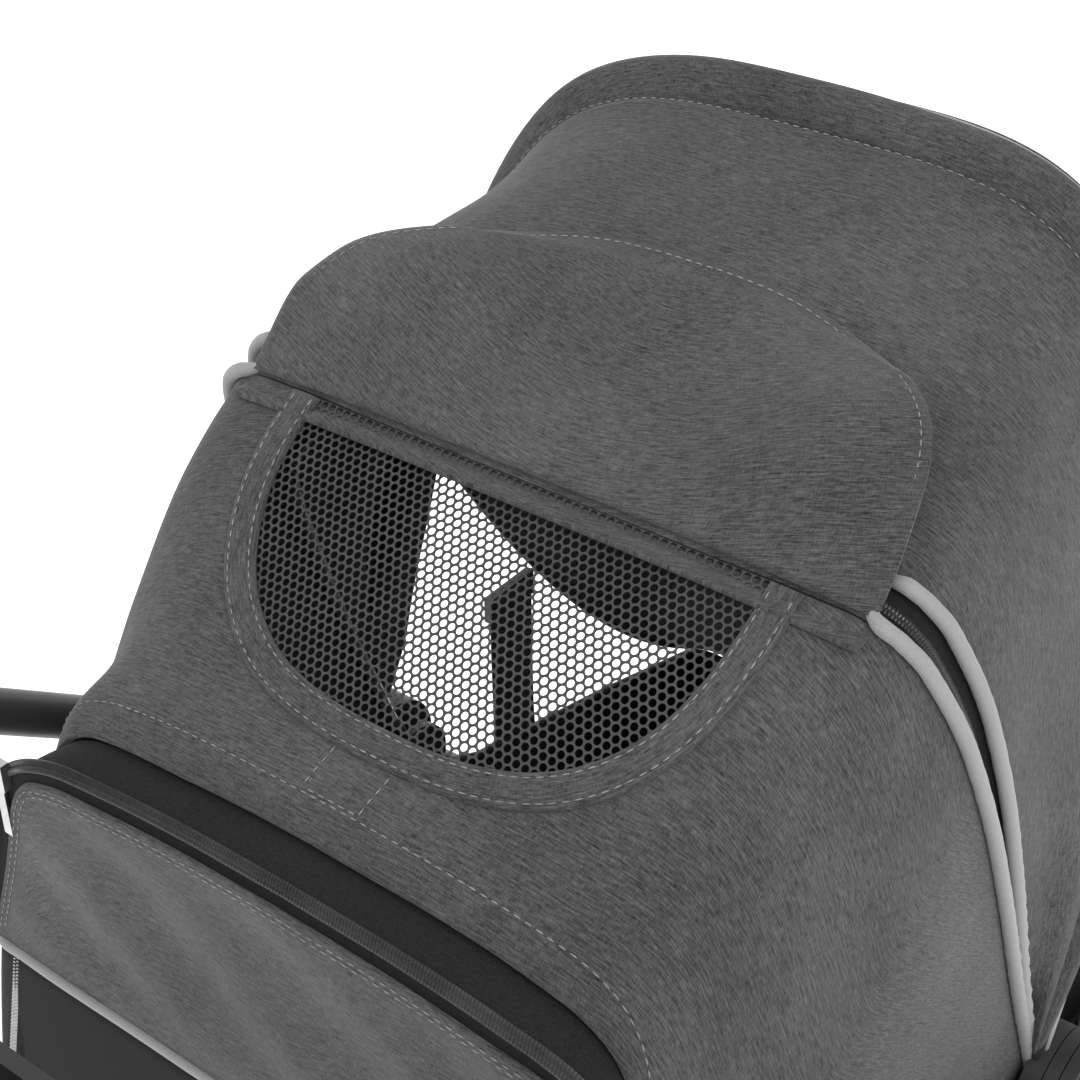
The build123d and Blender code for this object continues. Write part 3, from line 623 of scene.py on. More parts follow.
def window_outline(margin, count=90, power=2.6):
    """The D of the window, moved out by a margin, as (across, drop)."""
    t = np.linspace(0, math.pi, count)
    x = WINDOW_HALF * np.sign(np.cos(t)) * np.abs(np.cos(t)) ** (2 / power)
    v = WINDOW_DEPTH * np.sin(t) ** (2 / power)
    x[0], x[-1] = WINDOW_HALF, -WINDOW_HALF
    line = even(np.stack([x, v], 1), count)
    ahead = np.gradient(line, axis=0)
    out = np.stack([ahead[:, 1], -ahead[:, 0]], 1)
    out /= np.linalg.norm(out, axis=1, keepdims=True)
    return line + out * margin


def in_window(across, drop, margin, power=2.6):
    half, depth = WINDOW_HALF + margin, WINDOW_DEPTH + margin
    return (np.abs(across / half) ** power + np.abs(np.maximum(drop, 0) / depth) ** power < 1) & (drop > -12)


def binding(name, rows_of, body, outline, lifts):
    """A raised strip of cloth beside an outline. lifts are (distance out, height) pairs."""
    grid = np.stack([rows_of(outline(distance), lift) for distance, lift in lifts])
    return cloth(name, grid, HEATHER, body, HEATHER_PAINTED_SHADE, 1.4, flip=True)


def hood_back():
    shares = np.linspace(-0.965, 0.965, 231)
    turned = [(44.2, -4.6), (43.2, -4.4), (42.2, -3.8), (41.5, -2.6), (41.35, -1.3), (41.6, -0.3)]
    angles = np.concatenate([[a for a, _ in turned], np.linspace(42.0, PIPE_REAR, 84)])
    lifts = np.concatenate([[h for _, h in turned], np.zeros(84)])
    grid = REAR.point(np.maximum(angles, 41.35)[:, None], shares[None, :], lifts[:, None])
    centre = (grid[:-1, :-1] + grid[1:, 1:]) / 2
    angle = np.degrees(np.arctan2(centre[..., 2], centre[..., 1]))
    drop = np.interp(-angle, -BACK_ANGLES, BACK_DROP)
    drop = np.where(angle > BACK_ANGLES[0], -(angle - BACK_ANGLES[0]) * STEP_DROP, drop)
    hole = in_window(centre[..., 0], drop, 6.0) & (centre[..., 2] > 150)
    hole[: len(turned)] = False
    made = cloth("hood_back", grid, HEATHER, "frame", HEATHER_PAINTED_SHADE, 1.2, flip=True,
                 keep=~hole)
    strip = binding("window_binding", lambda line, lift: on_back(line[:, 0], line[:, 1], lift), "frame",
                    window_outline, [(0.0, -1.2), (-0.4, 0.3), (0.0, 1.5), (2.5, 2.0), (7.0, 2.1),
                                     (11.5, 2.0),
                                     (13.6, 1.6), (14.2, 0.6), (14.0, -0.6)])
    threads = []
    for tag, distance, lift in (("inner", 1.8, 2.0), ("outer", 11.6, 2.1)):
        line = window_outline(distance, 400)
        threads.append(stitches("window_stitch_" + tag, on_back(line[:, 0], line[:, 1], lift), "frame"))
    shares = np.linspace(-0.93, 0.93, 900)
    rate = np.linalg.norm(REAR.bare(BRIM + 2.0, shares) - REAR.bare(BRIM, shares), axis=1) / 2.0
    threads.append(stitches("brim_stitch", REAR.point(BRIM + STITCH_BACK / rate, shares, 0.15), "frame"))
    near, far = BINDING + WINDOW_DEPTH, BINDING + WINDOW_DEPTH + PATCH_DEPTH
    corners = [(-PATCH_HALF, near), (-PATCH_HALF, far), (PATCH_HALF, far), (PATCH_HALF, near)]
    patch = [on_back(*np.linspace(a, b, 30).T, 0.2) for a, b in zip(corners[:-1], corners[1:])]
    threads += [stitches("patch_stitch_%d" % k, line, "frame") for k, line in enumerate(patch)]
    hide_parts("hood_panel")


def hex_net(name, outline_test, surface, extent, pitch, hole, body, thick=0.6, material=NET):
    """A net of round holes in a honeycomb, cut from one sheet."""
    (x0, x1), (v0, v1) = extent
    row_step = pitch * math.sqrt(3) / 2
    corner_turn = np.linspace(0, 2 * math.pi, 12, endpoint=False) + math.pi / 6
    outer = np.where(np.arange(12) % 2 == 0, pitch / math.sqrt(3), pitch / 2)
    index, flat, faces = {}, [], []

    def vertex(x, v):
        key = (round(x * 50), round(v * 50))
        if key not in index:
            index[key] = len(flat)
            flat.append((x, v))
        return index[key]

    for row in range(int((v1 - v0) / row_step) + 1):
        v = v0 + row * row_step
        for column in range(int((x1 - x0) / pitch) + 1):
            x = x0 + column * pitch + (pitch / 2 if row % 2 else 0)
            if not outline_test(x, v):
                continue
            rim = [vertex(x + outer[k] * math.cos(a), v + outer[k] * math.sin(a)) for k,
                   a in enumerate(corner_turn)]
            first = len(flat)
            flat.extend((x + hole * math.cos(a), v + hole * math.sin(a)) for a in corner_turn)
            faces += [[rim[k], rim[(k + 1) % 12], first + (k + 1) % 12, first + k] for k in range(12)]
    flat = np.array(flat)
    return piece(name, surface(flat[:, 0], flat[:, 1]), faces, material, body, flat, None, thick, 0.0,
                 flat=True)


hood_back()
net_piece = hex_net("window_mesh", lambda x, v: bool(in_window(np.array(x), np.array(v), 3.5)) and v > -6,
                    lambda x, v: on_back(x, v, -0.6), ((-118.0, 118.0), (-6.0, 118.0)), 4.1, 1.68, "frame")
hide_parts("window_net")


# Piping and the zipped gusset between the two pipings

def pipings():
    shares = np.concatenate([np.linspace(-0.985, -0.2, 300), np.linspace(-0.19, 0.19, 20),
                             np.linspace(0.2, 0.985, 300)])
    draw = waves(11, 6, 0.25, 1.3)
    for tag, angle, amount in (("rear", PIPE_REAR, 0.16), ("front", PIPE_FRONT, 0.34)):
        base = GUSSET.bare(np.full(len(shares), angle), shares)
        reach = np.hypot(base[:, 1], base[:, 2])
        under_flap = ease((156.0 - np.abs(base[:, 0])) / 10.0) * (reach > 300)
        if angle == PIPE_REAR:
            base = GUSSET.bare(angle + 1.0 * under_flap, shares)
        normal = GUSSET.normal(np.full(len(shares), 69.6), np.clip(shares, -0.97, 0.97))
        path = base + normal * (3.1 - 3.6 * under_flap)[:, None]
        low = ease((250.0 - reach) / 120.0)
        total = lengths(path)

        def wrinkle(s, turn):
            lowness = np.interp(s[:, 0], total, low)[:, None]
            ridge = np.sin(2 * math.pi * s / 13.0 + 1.3 * np.sin(s / 31.0) + turn * 1.0) ** 3
            return amount * lowness * ridge + 0.06 * draw(s + turn * 2)
        width = 3.3 - 0.5 * ease((80.0 - reach) / 70.0) - 1.5 * under_flap
        tube("piping_" + tag, path, width, PIPING, "frame", 14, wrinkle)


def gusset():
    shares = np.linspace(-0.93, 0.93, 201)
    angles = np.linspace(PIPE_REAR, PIPE_FRONT, 7)
    sink = np.array([-0.5, -2.0, -2.4, -2.2, -2.4, -2.0, -0.5])
    grid = GUSSET.point(angles[:, None], shares[None, :], sink[:, None])
    tape = cloth("gusset_tape", grid, TAPE, "frame", LINING, 1.0, flip=True)
    middle = (PIPE_REAR + PIPE_FRONT) / 2
    shares = np.linspace(-0.80, 0.80, 900)
    path = GUSSET.point(np.full(900, middle), shares, -2.0)
    coil("gusset_coil", path, GUSSET.normal(np.full(900, middle), shares), "frame", 2.3, 1.5, 1.5)


pipings()
gusset()


# The hood's front, from the piping to the rim

def hood_front():
    shares = np.linspace(-0.965, 0.965, 231)
    angles = np.linspace(PIPE_FRONT, HEM, 70)
    grid = FRONT.point(angles[:, None], shares[None, :])
    made = cloth("hood_front", grid, HEATHER, None, HEATHER_PAINTED_SHADE, 1.2, flip=True)
    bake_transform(made)


def rim_casing():
    """The casing sewn round the rim bow, from the hem stitch over the bow and down its front."""
    arch = arched(202.0, 436.0, 3.8)
    full = np.concatenate([arch[::-1] * (-1, 1), arch[1:]])
    full = full[full[:, 1] > 12.0]
    turn = math.radians(RIM)
    out = np.array([0.0, math.cos(turn), math.sin(turn)])
    back = np.array([0.0, math.sin(turn), -math.cos(turn)])
    centre = leg_slack(full[:, :1] * np.array([1.0, 0, 0]) + full[:, 1:] * out, 1.0)
    ahead = np.gradient(centre, axis=0)
    ahead /= np.linalg.norm(ahead, axis=1, keepdims=True)
    rise = np.cross(ahead, back)
    rise *= np.sign((rise * (out + np.array([0, 0, 0.001]))).sum(1)
                    + (rise[:, 0] * full[:, 0]) * 1e-3)[:, None]
    narrow = ease((full[:, 1] - 10.0) / 90.0)[:, None]
    loop = [(7.4, -15.4), (6.9, -10.0), (6.3, -5.0), (5.4, 0.0), (3.6, 3.6), (0.0, 5.2), (-3.6, 3.8),
            (-5.3, 0.0),
            (-5.0, -8.0), (-3.6, -16.0), (-1.5, -22.0), (1.5, -22.5), (4.0, -19.0), (6.2, -16.4)]
    wrinkle = waves(13, 5, 0.02, 0.09)
    s = lengths(centre)[:, None]
    grid = np.stack([centre + back * b * (0.35 + 0.65 * narrow) + rise * h * (0.3 + 0.7 * narrow)
                     + rise * 0.35 * wrinkle(s + k * 3.0) for k, (b, h) in enumerate(loop)], 1)
    uv = np.stack(np.broadcast_arrays(s, np.arange(len(loop))[None, :] * 5.0), -1)
    faces = grid_faces(*grid.shape[:2], closed=True).tolist()
    made = piece("rim_casing", grid, faces, HEATHER, "hood_rim", uv)
    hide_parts("rim_panel")
    shares = np.linspace(-0.93, 0.93, 900)
    stitches("rim_stitch", FRONT.bare(np.full(900, HEM), shares) + back * 0.9 + out * 0.4, "hood_rim")
    bow = tube("bow_core", centre[::4], 3.0, TUBE, "hood_rim", 10)
    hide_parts("rim_bow")
    tube("piping_rim", centre - back * 6.8 + rise * 0.6, 2.7, PIPING, "hood_rim", 10)


hood_front()
rim_casing()


# The flap, folded up over the roof

def roof_height(x, y):
    """Height of the hood's roof at a place seen from above, by stepping the angle."""
    shell_points = []
    for shell, low, high in ((GUSSET, PIPE_REAR, PIPE_FRONT), (FRONT, PIPE_FRONT + 0.01, 96.0)):
        angles = np.linspace(low, high, 60)
        shares = shell.share_at(np.full(60, abs(x)), angles)
        shell_points.append(shell.bare(angles, shares))
    line = np.concatenate(shell_points)
    order = np.argsort(line[:, 1])
    return float(np.interp(y, line[order, 1], line[order, 2]))


def flap():
    """A hemmed D-shaped flap. It lies folded back, and its sides stand off the roof."""
    across = np.linspace(-1, 1, 81)
    under = [(-0.10, -6.2), (-0.05, -6.4), (-0.005, -6.0), (0.012, -4.2), (0.012, -1.8)]
    shares = 1 - (1 - np.linspace(0.0, 1.0, 48)) ** 1.5
    swell = waves(17, 5, 3.0, 12.0)
    rows = []
    for share, sunk in under + [(share, 0.0) for share in shares]:
        t = max(share, 0.0)
        half = max(FLAP_HALF * (1 - t ** 2.5) ** (1 / 2.5), 14.0)
        row = []
        for a in across:
            x = half * a
            middle = 1 - abs(x / FLAP_HALF) ** 2.5
            reach = t * (0.94 + 0.06 * middle) if share > 0 else share
            y = FLAP_LINE[0] + (FLAP_EDGE[0] - FLAP_LINE[0]) * reach
            z = FLAP_LINE[1] + (FLAP_EDGE[1] - FLAP_LINE[1]) * max(reach, 0) + sunk
            droop = 2.5 * abs(x / FLAP_HALF) ** 3.0 * (1 - t)
            stand = FLAP_STAND * float(ease(t / 0.3) * ease((1.0 - t) / 0.55) * ease((abs(x) - 40) / 70))
            bulge = 2.2 * math.sin(math.pi * min(t * 1.6, 1.0)) * middle * (1 - t)
            z += stand + bulge - droop + 0.5 * float(swell(np.array(a * 0.9 + t * 0.3))) * float(ease(t * 4))
            if t > 0.02:
                over = 3.0 + 30.0 * (1 - float(ease((t - 0.55) / 0.4)))
                z = min(max(z, roof_height(x, y) + 3.0), roof_height(x, y) + over)
            row.append((x, y, z))
        rows.append(row)
    grid = np.array(rows)
    made = cloth("flap_cloth", grid, HEATHER, "flap", HEATHER_PAINTED_SHADE, 2.2, flip=True)
    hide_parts("window_flap")
    top = grid[len(under):]
    right, far, left = top[1:, 0], top[-1, 1:-1], top[1:, -1][::-1]
    loop = np.concatenate([right, far, left])
    centre = np.array([0.0, 80.0, 0.0])
    inward = (centre - loop) * (1, 1, 0)
    inward /= np.linalg.norm(inward, axis=1, keepdims=True)
    stitches("flap_stitch", even(loop, 900) + even_like(inward, loop, 900) * 4.5 + (0, 0, 0.3), "flap")


flap()


# The rear zipper, the lower panel and the piping under it

def mirrored(half):
    """Both sides of a half curve, from the right end to the left one."""
    return np.concatenate([half[::-1] * (-1, 1, 1), half[1:]])


panel_wave = waves(8, 5, 7.0, 22.0)
panel_slant = waves(9, 4, 4.0, 10.0)


def panel_depth(x, z):
    """How far back the slack lower panel stands at (x, z)."""
    top = np.interp(np.abs(x), PANEL_EDGE[:, 0], PANEL_EDGE[:, 2])
    side = np.interp(z, PANEL_EDGE[::-1, 2], PANEL_EDGE[::-1, 0])
    slack = ease((top - z) / 34.0) * ease((z - 97.0) / 34.0) * ease((side - np.abs(x)) / 30.0)
    folds = 0.9 * panel_wave(x / 330.0 + z * 0.002) + 1.0 * panel_slant(x / 150.0 - z * 0.008)
    return 291.0 + slack * (folds - 1.5)


def lower_back():
    brim, zip_line, edge = mirrored(BRIM_LEG), mirrored(ZIP_EDGE), mirrored(PANEL_EDGE)
    count = len(zip_line)
    share = np.abs(np.linspace(-1, 1, count))[:, None]
    side = np.sign(zip_line[:, :1])
    lean = ease((share - 0.48) / 0.16)
    rise = (1 - lean) * np.array([0, 0.64, 0.77]) + lean * np.concatenate([side * 0.72, 0 * side + 0.69,
                                                                           0 * side], 1)
    rise /= np.linalg.norm(rise, axis=1, keepdims=True)
    rows = [brim * (1 - a) + zip_line * a - rise * d
            for a, d in ((0.0, 5.0), (0.1, 3.4), (0.4, 1.0), (0.75, 0.4), (1.0, 0.4))]
    rows += [zip_line * 0.6 + edge * 0.4 - rise * 0.6, edge - rise * 2.0, edge * (0.97, 1, 0.97) - rise * 3.2]
    tape = cloth("zipper_tape", np.stack(rows), TAPE, "frame", LINING, 0.9)
    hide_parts("rear_zipper")
    keep = slice(2, count - 2)
    coil("rear_coil", zip_line[keep], rise[keep], "frame", 3.0, 2.0, 1.55)

    across = np.linspace(-1, 1, 201)
    edge = even_like(mirrored(PANEL_EDGE), np.linspace(-1, 1, count)[:, None], 201)
    foot_x = edge[:, 0] * (1 - np.abs(across) ** 6) + np.sign(across) * 190.0 * np.abs(across) ** 6
    rows = []
    for down, lift in ([(0.030, -2.6), (0.010, -2.3), (-0.006, -1.1), (-0.006, 0.5), (0.0, 1.0)]
                       + [(v, 1.0) for v in np.linspace(0.01, 1.0, 60)]):
        x = edge[:, 0] + (foot_x - edge[:, 0]) * max(down, 0.0)
        z = edge[:, 2] + (97.0 - edge[:, 2]) * down
        rows.append(np.stack([x * (1 - min(down, 0.0) * -0.3), panel_depth(x, z) + lift, z], 1))
    made = cloth("rear_lower_panel", np.array(rows), HEATHER, "frame", HEATHER_PAINTED_SHADE, 1.2)
    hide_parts("rear_panel")
    line = even(mirrored(PANEL_EDGE), 900)
    ahead = np.gradient(line, axis=0)
    inward = np.stack([ahead[:, 2], 0 * ahead[:, 0], -ahead[:, 0]], 1)
    inward /= np.linalg.norm(inward, axis=1, keepdims=True)
    for tag, distance in (("a", 2.6), ("b", 5.4)):
        path = line + inward * distance
        path[:, 1] = panel_depth(path[:, 0], path[:, 2]) + 1.3
        stitches("panel_stitch_" + tag, path[6:-6], "frame")
    low = [(0, 292, 96.5), (90, 292, 96.5), (170, 292, 96.5), (184, 291.5, 96.8), (192, 285, 95.5),
           (194.5, 270, 91),
           (195.5, 200, 67.5), (196, 120, 40.5), (196.5, 60, 20.5), (198, 30, 10)]
    tube("piping_low", mirrored(even(low, 260)), 2.7, PIPING, "frame", 10)


lower_back()


# The tub

SIDE_TOP = [(-320.0, -112.0), (-200.0, -76.0), (-64.0, -40.0), (-16.0, -16.0), (16.0, -14.0), (38.0, 12.4),
            (290.0, 97.6), (330.0, 111.0)]
TUB_FLOOR = -170.0
TUB_HALF = 194.0
TUB_REACH = 314.0
TUB_MIDDLE = -6.0
TUB_RING = 420         # points round the tub


def rounded_plan(half, reach, corner, middle, steps, count):
    """Evenly spaced (x, y) points round a rectangle with rounded corners, and their distances."""
    points = []
    for cx, cy, start in ((1, 1, 0), (-1, 1, 90), (-1, -1, 180), (1, -1, 270)):
        for a in np.radians(np.linspace(start, start + 90, steps)):
            points.append(((half - corner) * cx + corner * math.cos(a),
                           middle + (reach - corner) * cy + corner * math.sin(a)))
    points = np.array(points + points[:1])
    s = lengths(points)
    at = np.linspace(0, s[-1], count, endpoint=False)
    return np.stack([np.interp(at, s, points[:, 0]), np.interp(at, s, points[:, 1])], 1), at


def sack(name, grid, along):
    """An open fabric box from rings that run from its top edge down and under its floor."""
    count = grid.shape[1]
    uv = np.stack([np.broadcast_to(along, grid.shape[:2]), grid[..., 2]], -1)
    faces = grid_faces(*grid.shape[:2], closed=True, flip=True).tolist()
    faces.append([(len(grid) - 1) * count + k for k in range(count)])
    return piece(name, grid, faces, TUB_CLOTH, "frame", uv, LINING, 2.0, 1.0)


def tub_end(y, z):
    """The tub's end walls lean: the rear bulges at half height, and the front slopes in."""
    rear = np.interp(z, [-170, 24, 98], [300.0, 308.0, 290.0]) - 308.0
    front = np.interp(z, [-170, -112], [-312.0, -320.0]) + 320.0
    return y + rear * ease((y - 200.0) / 90.0) + front * ease((-y - 220.0) / 90.0)


def tub_grid(rows=26):
    tight, loose = (rounded_plan(TUB_HALF, TUB_REACH, r, TUB_MIDDLE, 12, TUB_RING)[0] for r in (14.0, 38.0))
    top = np.minimum(np.interp(tight[:, 1], [y for y, _ in SIDE_TOP], [z for _, z in SIDE_TOP]), 97.6)
    wall = waves(21, 6, 0.010, 0.040)
    slant = waves(22, 5, 0.012, 0.05)
    s = lengths(tight)
    grid = []
    for share in np.linspace(0, 1, rows):
        plan = tight + (loose - tight) * float(ease(share / 0.8))
        z = top + (TUB_FLOOR + 8.0 - top) * share
        belly = math.sin(math.pi * share)
        y = tub_end(plan[:, 1], z)
        push = belly * (1.0 * wall(s) + 0.9 * slant(s + z * 0.7)) - 0.6
        n = np.stack([plan[:, 0] / TUB_HALF, plan[:, 1] / TUB_REACH], 1)
        n = np.sign(n) * np.abs(n) ** 6
        n /= np.linalg.norm(n, axis=1, keepdims=True)
        grid.append(np.stack([plan[:, 0] + n[:, 0] * push, y + n[:, 1] * push, z], 1))
    wall_foot = grid[-1]
    for share, z in ((0.995, -4.5), (0.975, -7.4), (0.94, -8.6), (0.8, -8.3), (0.6, -8.0), (0.35, -8.0),
                     (0.1, -8.0)):
        ring = wall_foot * (share, share, 1) + (0, (1 - share) * -6.0, 0)
        ring[:, 2] = TUB_FLOOR + 8.0 + z + 0.6
        grid.append(ring)
    return np.array(grid), s


def tub():
    grid, s = tub_grid()
    made = sack("tub_cloth", grid, s)
    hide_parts("cabin_tub")
    rim = np.concatenate([grid[0], grid[0][:1]])
    edge = rim + (0, 0, 0.5)
    front = [p for p in edge if p[1] < 30.0]
    ring = np.array(front)
    order = np.argsort(np.arctan2(ring[:, 0], -ring[:, 1] - 100.0))
    tube("tub_edge_binding", even(ring[order], 420), 2.4, WEBBING, "frame", 10)
    for tag, side in (("left", 1), ("right", -1)):
        z = np.linspace(100.0, 18.0, 40)
        y = tub_end(np.full(40, 304.0 + 3.0), z) + 0.9
        strip = np.stack([np.stack([np.full(40, side * 175.0 + dx), y + lift, z], 1)
                          for dx, lift in ((-8, -1.5), (-7, 0.3), (-2.5, 0.5), (2.5, 0.5), (7, 0.1),
                                           (8, -3.0))], 0)
        cloth("corner_zip_tape_" + tag, strip, TAPE, "frame", LINING, 0.6, flip=side > 0,
              offset=0.0)
        path = np.stack([np.full(40, side * 175.0), y + 0.9, z], 1)
        coil("corner_zip_" + tag, path, np.tile([0.0, 1.0, 0.0], (40, 1)), "frame", 2.0, 1.3, 1.9, TEETH)


tub()


# The front cover, from the rim down to the front wall

COVER_FOOT = (-324.0, -109.5)
COVER_SAG = 40.0


def cover_surface(across, share, lift=0.0):
    """Points on the cover: across from -1 to 1, and from 0 at the rim to 1 at the front wall."""
    across, share = np.broadcast_arrays(np.asarray(across, float), np.asarray(share, float))
    arch = arched(199.5, 438.0, 3.9)
    full = np.concatenate([arch[::-1] * (-1, 1), arch[1:]])
    high = np.abs(full[:, 1]) > 195.0
    full = full[high]
    s = lengths(full)
    at = (across + 1) / 2 * s[-1]
    x = np.interp(at, s, full[:, 0])
    r = np.interp(at, s, full[:, 1]) - 1.5
    turn = math.radians(102.8)
    edge = np.stack([x, r * math.cos(turn), r * math.sin(turn)], -1)
    foot = np.stack([188.0 * across, np.full(across.shape, COVER_FOOT[0]),
                     np.full(across.shape, COVER_FOOT[1])], -1)
    point = edge + (foot - edge) * share[..., None]
    sag = COVER_SAG * 4 * share * (1 - share) * np.abs(across) ** 6
    out = np.array([0.0, -0.75, 0.66])
    return point - np.array([0, 0, 1.0]) * sag[..., None] + out * (np.asarray(lift, float)[..., None] + 1.2)


def cover():
    across = np.linspace(-1, 1, 141)
    shares = np.linspace(0.0, 1.0, 90)
    swell = waves(31, 5, 3.0, 9.0)
    grid = cover_surface(across[None, :], shares[:, None], 1.2 * swell(across[None, :] * 1.4
                                                                       + shares[:, None] * 2.0))
    a, s = np.meshgrid((across[1:] + across[:-1]) / 2, (shares[1:] + shares[:-1]) / 2)
    hole = (np.abs(a / 0.44) ** 5 + np.abs((s - 0.56) / 0.24) ** 5) < 1
    made = cloth("cover_cloth", grid, HEATHER, "cover", LINING, 1.2, flip=False, keep=~hole)
    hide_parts("front_cover")

    def ring(scale):
        t = np.linspace(0, 2 * math.pi, 241)
        c, d = (np.sign(w) * np.abs(w) ** 0.4 for w in (np.cos(t), np.sin(t)))
        return (0.44 + scale) * c, 0.56 + (0.24 + scale * 0.8) * d

    rows = []
    for scale, height in ((-0.022, -1.5), (-0.024, 1.5), (-0.01, 2.6), (0.02, 2.6), (0.026, 1.8),
                          (0.024, -1.0)):
        u, w = ring(scale)
        rows.append(cover_surface(u, w, 1.2 * swell(u * 1.4 + w * 2.0) + height))
    cloth("cover_binding", np.array(rows), HEATHER, "cover", HEATHER_PAINTED_SHADE, 1.0, flip=True,
          offset=0.0)
    for tag, scale in (("inner", -0.016), ("outer", 0.017)):
        u, w = ring(scale)
        stitches("cover_stitch_" + tag, even(cover_surface(u, w, 1.2 * swell(u * 1.4 + w * 2.0) + 2.8), 900),
                 "cover")
    for side in (-1, 1):
        tag = "left" if side > 0 else "right"
        path = cover_surface(np.full(160, side * 1.0), np.linspace(0, 1, 160), 0.4)
        tube("cover_edge_" + tag, path, 2.3, WEBBING, "cover", 10)


def cover_net_surface(x, v):
    u, w = x / 1000.0, v / 1000.0
    swell = waves(31, 5, 3.0, 9.0)
    return cover_surface(u, w, 1.2 * swell(u * 1.4 + w * 2.0) - 0.4)


cover()
cover_mesh = hex_net("cover_mesh", lambda x, v: (abs(x / 448.0) ** 5 + abs((v - 560.0) / 246.0) ** 5) < 1,
                     cover_net_surface, ((-450.0, 450.0), (310.0, 810.0)), 13.0, 5.1, "cover", 0.6)
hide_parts("cover_net")


# Straps, pads, basket and grip

def ribbon(name, path, wide, thick, body, material=WEBBING):
    """A flat strap along a path. wide is the direction and half width of the strap, in millimetres."""
    path = even(path, 60)
    ahead = np.gradient(path, axis=0)
    wide = np.asarray(wide, float)
    up = np.cross(ahead, wide)
    up /= np.linalg.norm(up, axis=1, keepdims=True)
    outline = [(-1, -0.3), (-0.97, -0.5), (0.97, -0.5), (1, -0.3), (1, 0.3), (0.97, 0.5), (-0.97, 0.5),
               (-1, 0.3)]
    grid = np.stack([path + wide * a + up * (b * thick) for a, b in outline], 1)
    faces = grid_faces(*grid.shape[:2], closed=True).tolist()
    n = len(outline)
    faces += [list(range(n))[::-1], [(len(path) - 1) * n + k for k in range(n)]]
    return piece(name, grid, faces, material, body)


def straps():
    for tag, side in (("left", 1), ("right", -1)):
        x = side * 196.0
        ribbon("side_strap_" + tag, [(x, -116, -108), (x + side * 0.8, -108, -60), (x, -104, 0),
                                                 (x, -103, 50)],
                           (0, 20, 0), 1.8, "frame")
        for y in (-120.0, 120.0):
            ribbon("basket_strap_%s_%s" % (tag, "front" if y < 0 else "rear"),
                               [(side * 187.4, y, -183), (side * 188.2, y, -230), (side * 187.6, y, -290)],
                               (0, 12, 0), 1.8, "frame")
    ribbon("tether", [(60, 70, -135.4), (61, 120, -134.6), (59, 190, -135.2), (60, 250, -135.4)],
                       (10, 0, 0), 1.8, "frame")
    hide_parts("side_straps")
    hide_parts("basket_straps")
    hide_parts("tether_strap")


def basket():
    """A slack fabric basket: its rim dips between the straps, its walls belly and its floor sags."""
    count = 300
    plan, at = rounded_plan(186.0, 195.0, 35.0, 0.0, 10, count)
    dip = 10.0 * np.cos(plan[:, 1] / 120.0 * math.pi) * (np.abs(plan[:, 0]) > 170)
    dip = dip + 10.0 * (np.abs(plan[:, 1]) > 150)
    top = -254.0 - np.clip(dip, 0, 12)
    for _ in range(6):
        top = (np.roll(top, 1) + top + np.roll(top, -1)) / 3
    wall = waves(41, 6, 0.012, 0.045)
    grid = []
    for share in np.linspace(0, 1, 18):
        z = top + (-392.0 - top) * share
        taper = 1.0 - 0.05 * share ** 2
        push = 1.0 + (0.006 * math.sin(math.pi * share)) * wall(at) - 0.012 * math.sin(math.pi * share)
        grid.append(np.stack([plan[:, 0] * taper * push, plan[:, 1] * taper * push, z], 1))
    foot = grid[-1]
    for share, z in ((0.985, -399.0), (0.95, -402.0), (0.85, -403.4), (0.6, -404.0), (0.3, -404.2),
                     (0.08, -404.2)):
        ring = foot * (share, share, 1)
        ring[:, 2] = z
        grid.append(ring)
    grid = np.array(grid) + (0, -5.0, 0)
    made = sack("basket_cloth", grid, at)
    made.modifiers["thickness"].thickness = 0.0018
    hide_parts("basket")
    ring = np.concatenate([grid[0], grid[0][:2]])
    tube("basket_binding", ring, 2.6, WEBBING, "frame", 10)


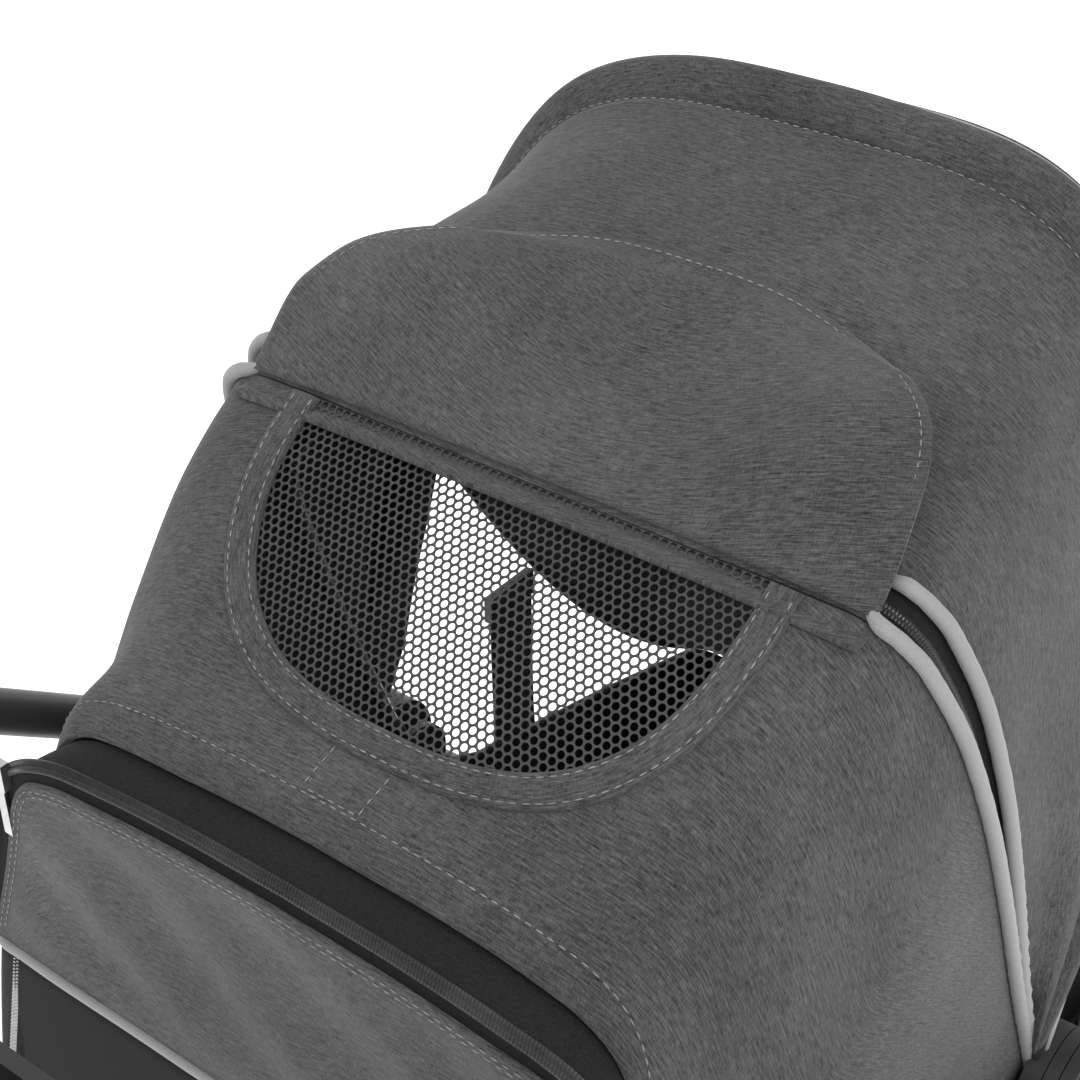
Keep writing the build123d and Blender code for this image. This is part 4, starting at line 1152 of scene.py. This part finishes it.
def cushion():
    """The cabin pad: swollen by a short cloth simulation, then quilted across."""
    source = nodes["cabin_pad"]
    made = source.copy()
    made.data = source.data.copy()
    made.name = made.data.name = "pad_cushion"
    made.parent = None
    for key in list(made.keys()):
        del made[key]
    scene.collection.objects.link(made)
    made.hide_render = False
    rest = np.array([v.co for v in made.data.vertices])
    low, high = rest.min(0), rest.max(0)
    middle = (low + high) / 2
    size = (high - low) / 2
    shrunk = middle + (rest - middle) * ((size - 0.004) / size)
    made.data.vertices.foreach_set("co", shrunk.ravel())
    remesh = made.modifiers.new("remesh", "REMESH")
    remesh.mode = "VOXEL"
    remesh.voxel_size = 0.006
    bpy.context.view_layer.objects.active = made
    made.select_set(True)
    bpy.ops.object.modifier_apply(modifier="remesh")
    start = np.array([v.co for v in made.data.vertices])
    soft = made.modifiers.new("cloth", "CLOTH")
    soft.settings.use_pressure = True
    soft.settings.uniform_pressure_force = 4.0
    soft.settings.effector_weights.gravity = 0.0
    soft.settings.quality = 5
    for step in range(1, 21):
        scene.frame_set(step)
    bpy.ops.object.modifier_apply(modifier="cloth")
    now = np.array([v.co for v in made.data.vertices])
    move = now - start
    far = np.linalg.norm(move, axis=1, keepdims=True)
    cap = 0.006
    now = start + move * np.minimum(1.0, cap / np.maximum(far, 1e-9))
    share_x = (now[:, 0] - middle[0]) / size[0]
    share_y = (now[:, 1] - middle[1]) / size[1]
    upper = ease((now[:, 2] - middle[2]) / size[2])
    crown = 0.003 * (1 - share_x ** 4) * (1 - share_y ** 4)
    channel = np.minimum(np.abs((share_y * 3.5) % 1.0 - 0.5) * 2, 1.0)
    groove = 0.0045 * np.exp(-(1 - channel) ** 2 / 0.012) * (np.abs(share_y) < 0.95)
    now[:, 2] += upper * (crown - groove)
    now = np.clip(now, low + 0.0002, high + np.array([0.0, 0.0, 0.003]) - 0.0002)
    made.data.vertices.foreach_set("co", now.ravel())
    made.data.materials.clear()
    made.data.materials.append(PAD_CLOTH)
    made.data.polygons.foreach_set("use_smooth", np.ones(len(made.data.polygons), bool))
    smooth = made.modifiers.new("smooth", "SUBSURF")
    smooth.levels = smooth.render_levels = 1
    made.data.update()
    made.select_set(False)
    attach(made, "frame")
    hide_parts("cabin_pad")


def grip_sleeve():
    """A ribbed foam sleeve round the middle of the handle."""
    low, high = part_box("grip")
    low, high = np.array(low) * 1000 - HUB, np.array(high) * 1000 - HUB
    y, z = (low[1] + high[1]) / 2, (low[2] + high[2]) / 2
    radius = (high[1] - low[1]) / 2
    x = np.concatenate([[low[0], low[0] + 0.6, low[0] + 2.5], np.linspace(low[0] + 6, high[0] - 6, 300),
                        [high[0] - 2.5, high[0] - 0.6, high[0]]])
    end = np.minimum(np.abs(x - low[0]), np.abs(high[0] - x))
    r = radius - 3.2 * np.exp(-end / 1.4) - 0.35 * (np.sin(x / 5.0 * 2 * math.pi) > 0.86) * (end > 8)
    path = np.stack([x, np.full(len(x), y), np.full(len(x), z)], 1)
    made = tube("grip_foam", path, r, FOAM, "handle", 40)
    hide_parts("grip")


straps()
basket()
cushion()
grip_sleeve()


# CAD parts keep their shape and get better materials

SLOT_LOOKS = {
    "frame_tube": TUBE, "hub_plastic": PLASTIC, "steel": STEEL, "wheel_plastic": WHEEL, "tyre": RUBBER,
    "shell_fabric": HEATHER, "lining_fabric": TUB_CLOTH, "net": NET, "webbing": WEBBING, "zipper": STEEL,
    "foam": FOAM, "pad_fabric": PAD_CLOTH, "board": BOARD, "buckle": BUCKLE}


def dress_cad():
    slot_of = {row["node"]: row["material_slot"] for row in frame["record"]["subparts"]}
    for name, made in nodes.items():
        look = SLOT_LOOKS.get(slot_of.get(name, ""), PLASTIC)
        made.data.materials.clear()
        made.data.materials.append(look)
        soften = made.modifiers.new("soft_edges", "BEVEL")
        soften.width = 0.0004
        soften.segments = 2
        soften.limit_method = "ANGLE"
        soften.angle_limit = math.radians(40)


dress_cad()


# Floor and light

def stage():
    bpy.ops.mesh.primitive_plane_add(size=12.0, location=(0, 0, 0))
    floor = bpy.context.object
    floor.name = "floor"
    material, made, links, shader = node_tree("pale_floor")
    shader.inputs["Base Color"].default_value = (0.9, 0.9, 0.9, 1.0)
    shader.inputs["Roughness"].default_value = 0.9
    shader.inputs["Emission Color"].default_value = (1.0, 1.0, 1.0, 1.0)
    shader.inputs["Emission Strength"].default_value = 0.55
    floor.data.materials.append(material)
    world = bpy.data.worlds.new("studio")
    world.use_nodes = True
    world.node_tree.nodes["Background"].inputs["Color"].default_value = (1.0, 1.0, 1.0, 1.0)
    world.node_tree.nodes["Background"].inputs["Strength"].default_value = 1.0
    scene.world = world
    for name, spot, aim, power, size in (("key", (-1.6, 1.2, 2.6), (0, 0, 0.8), 38.0, 1.4),
                                         ("fill", (1.8, 1.6, 1.8), (0, 0, 0.7), 9.0, 1.8)):
        data = bpy.data.lights.new(name, "AREA")
        data.energy = power
        data.size = size
        light = bpy.data.objects.new(name, data)
        light.location = spot
        light.rotation_euler = (Vector(aim) - Vector(spot)).to_track_quat("-Z", "Y").to_euler()
        scene.collection.objects.link(light)


stage()
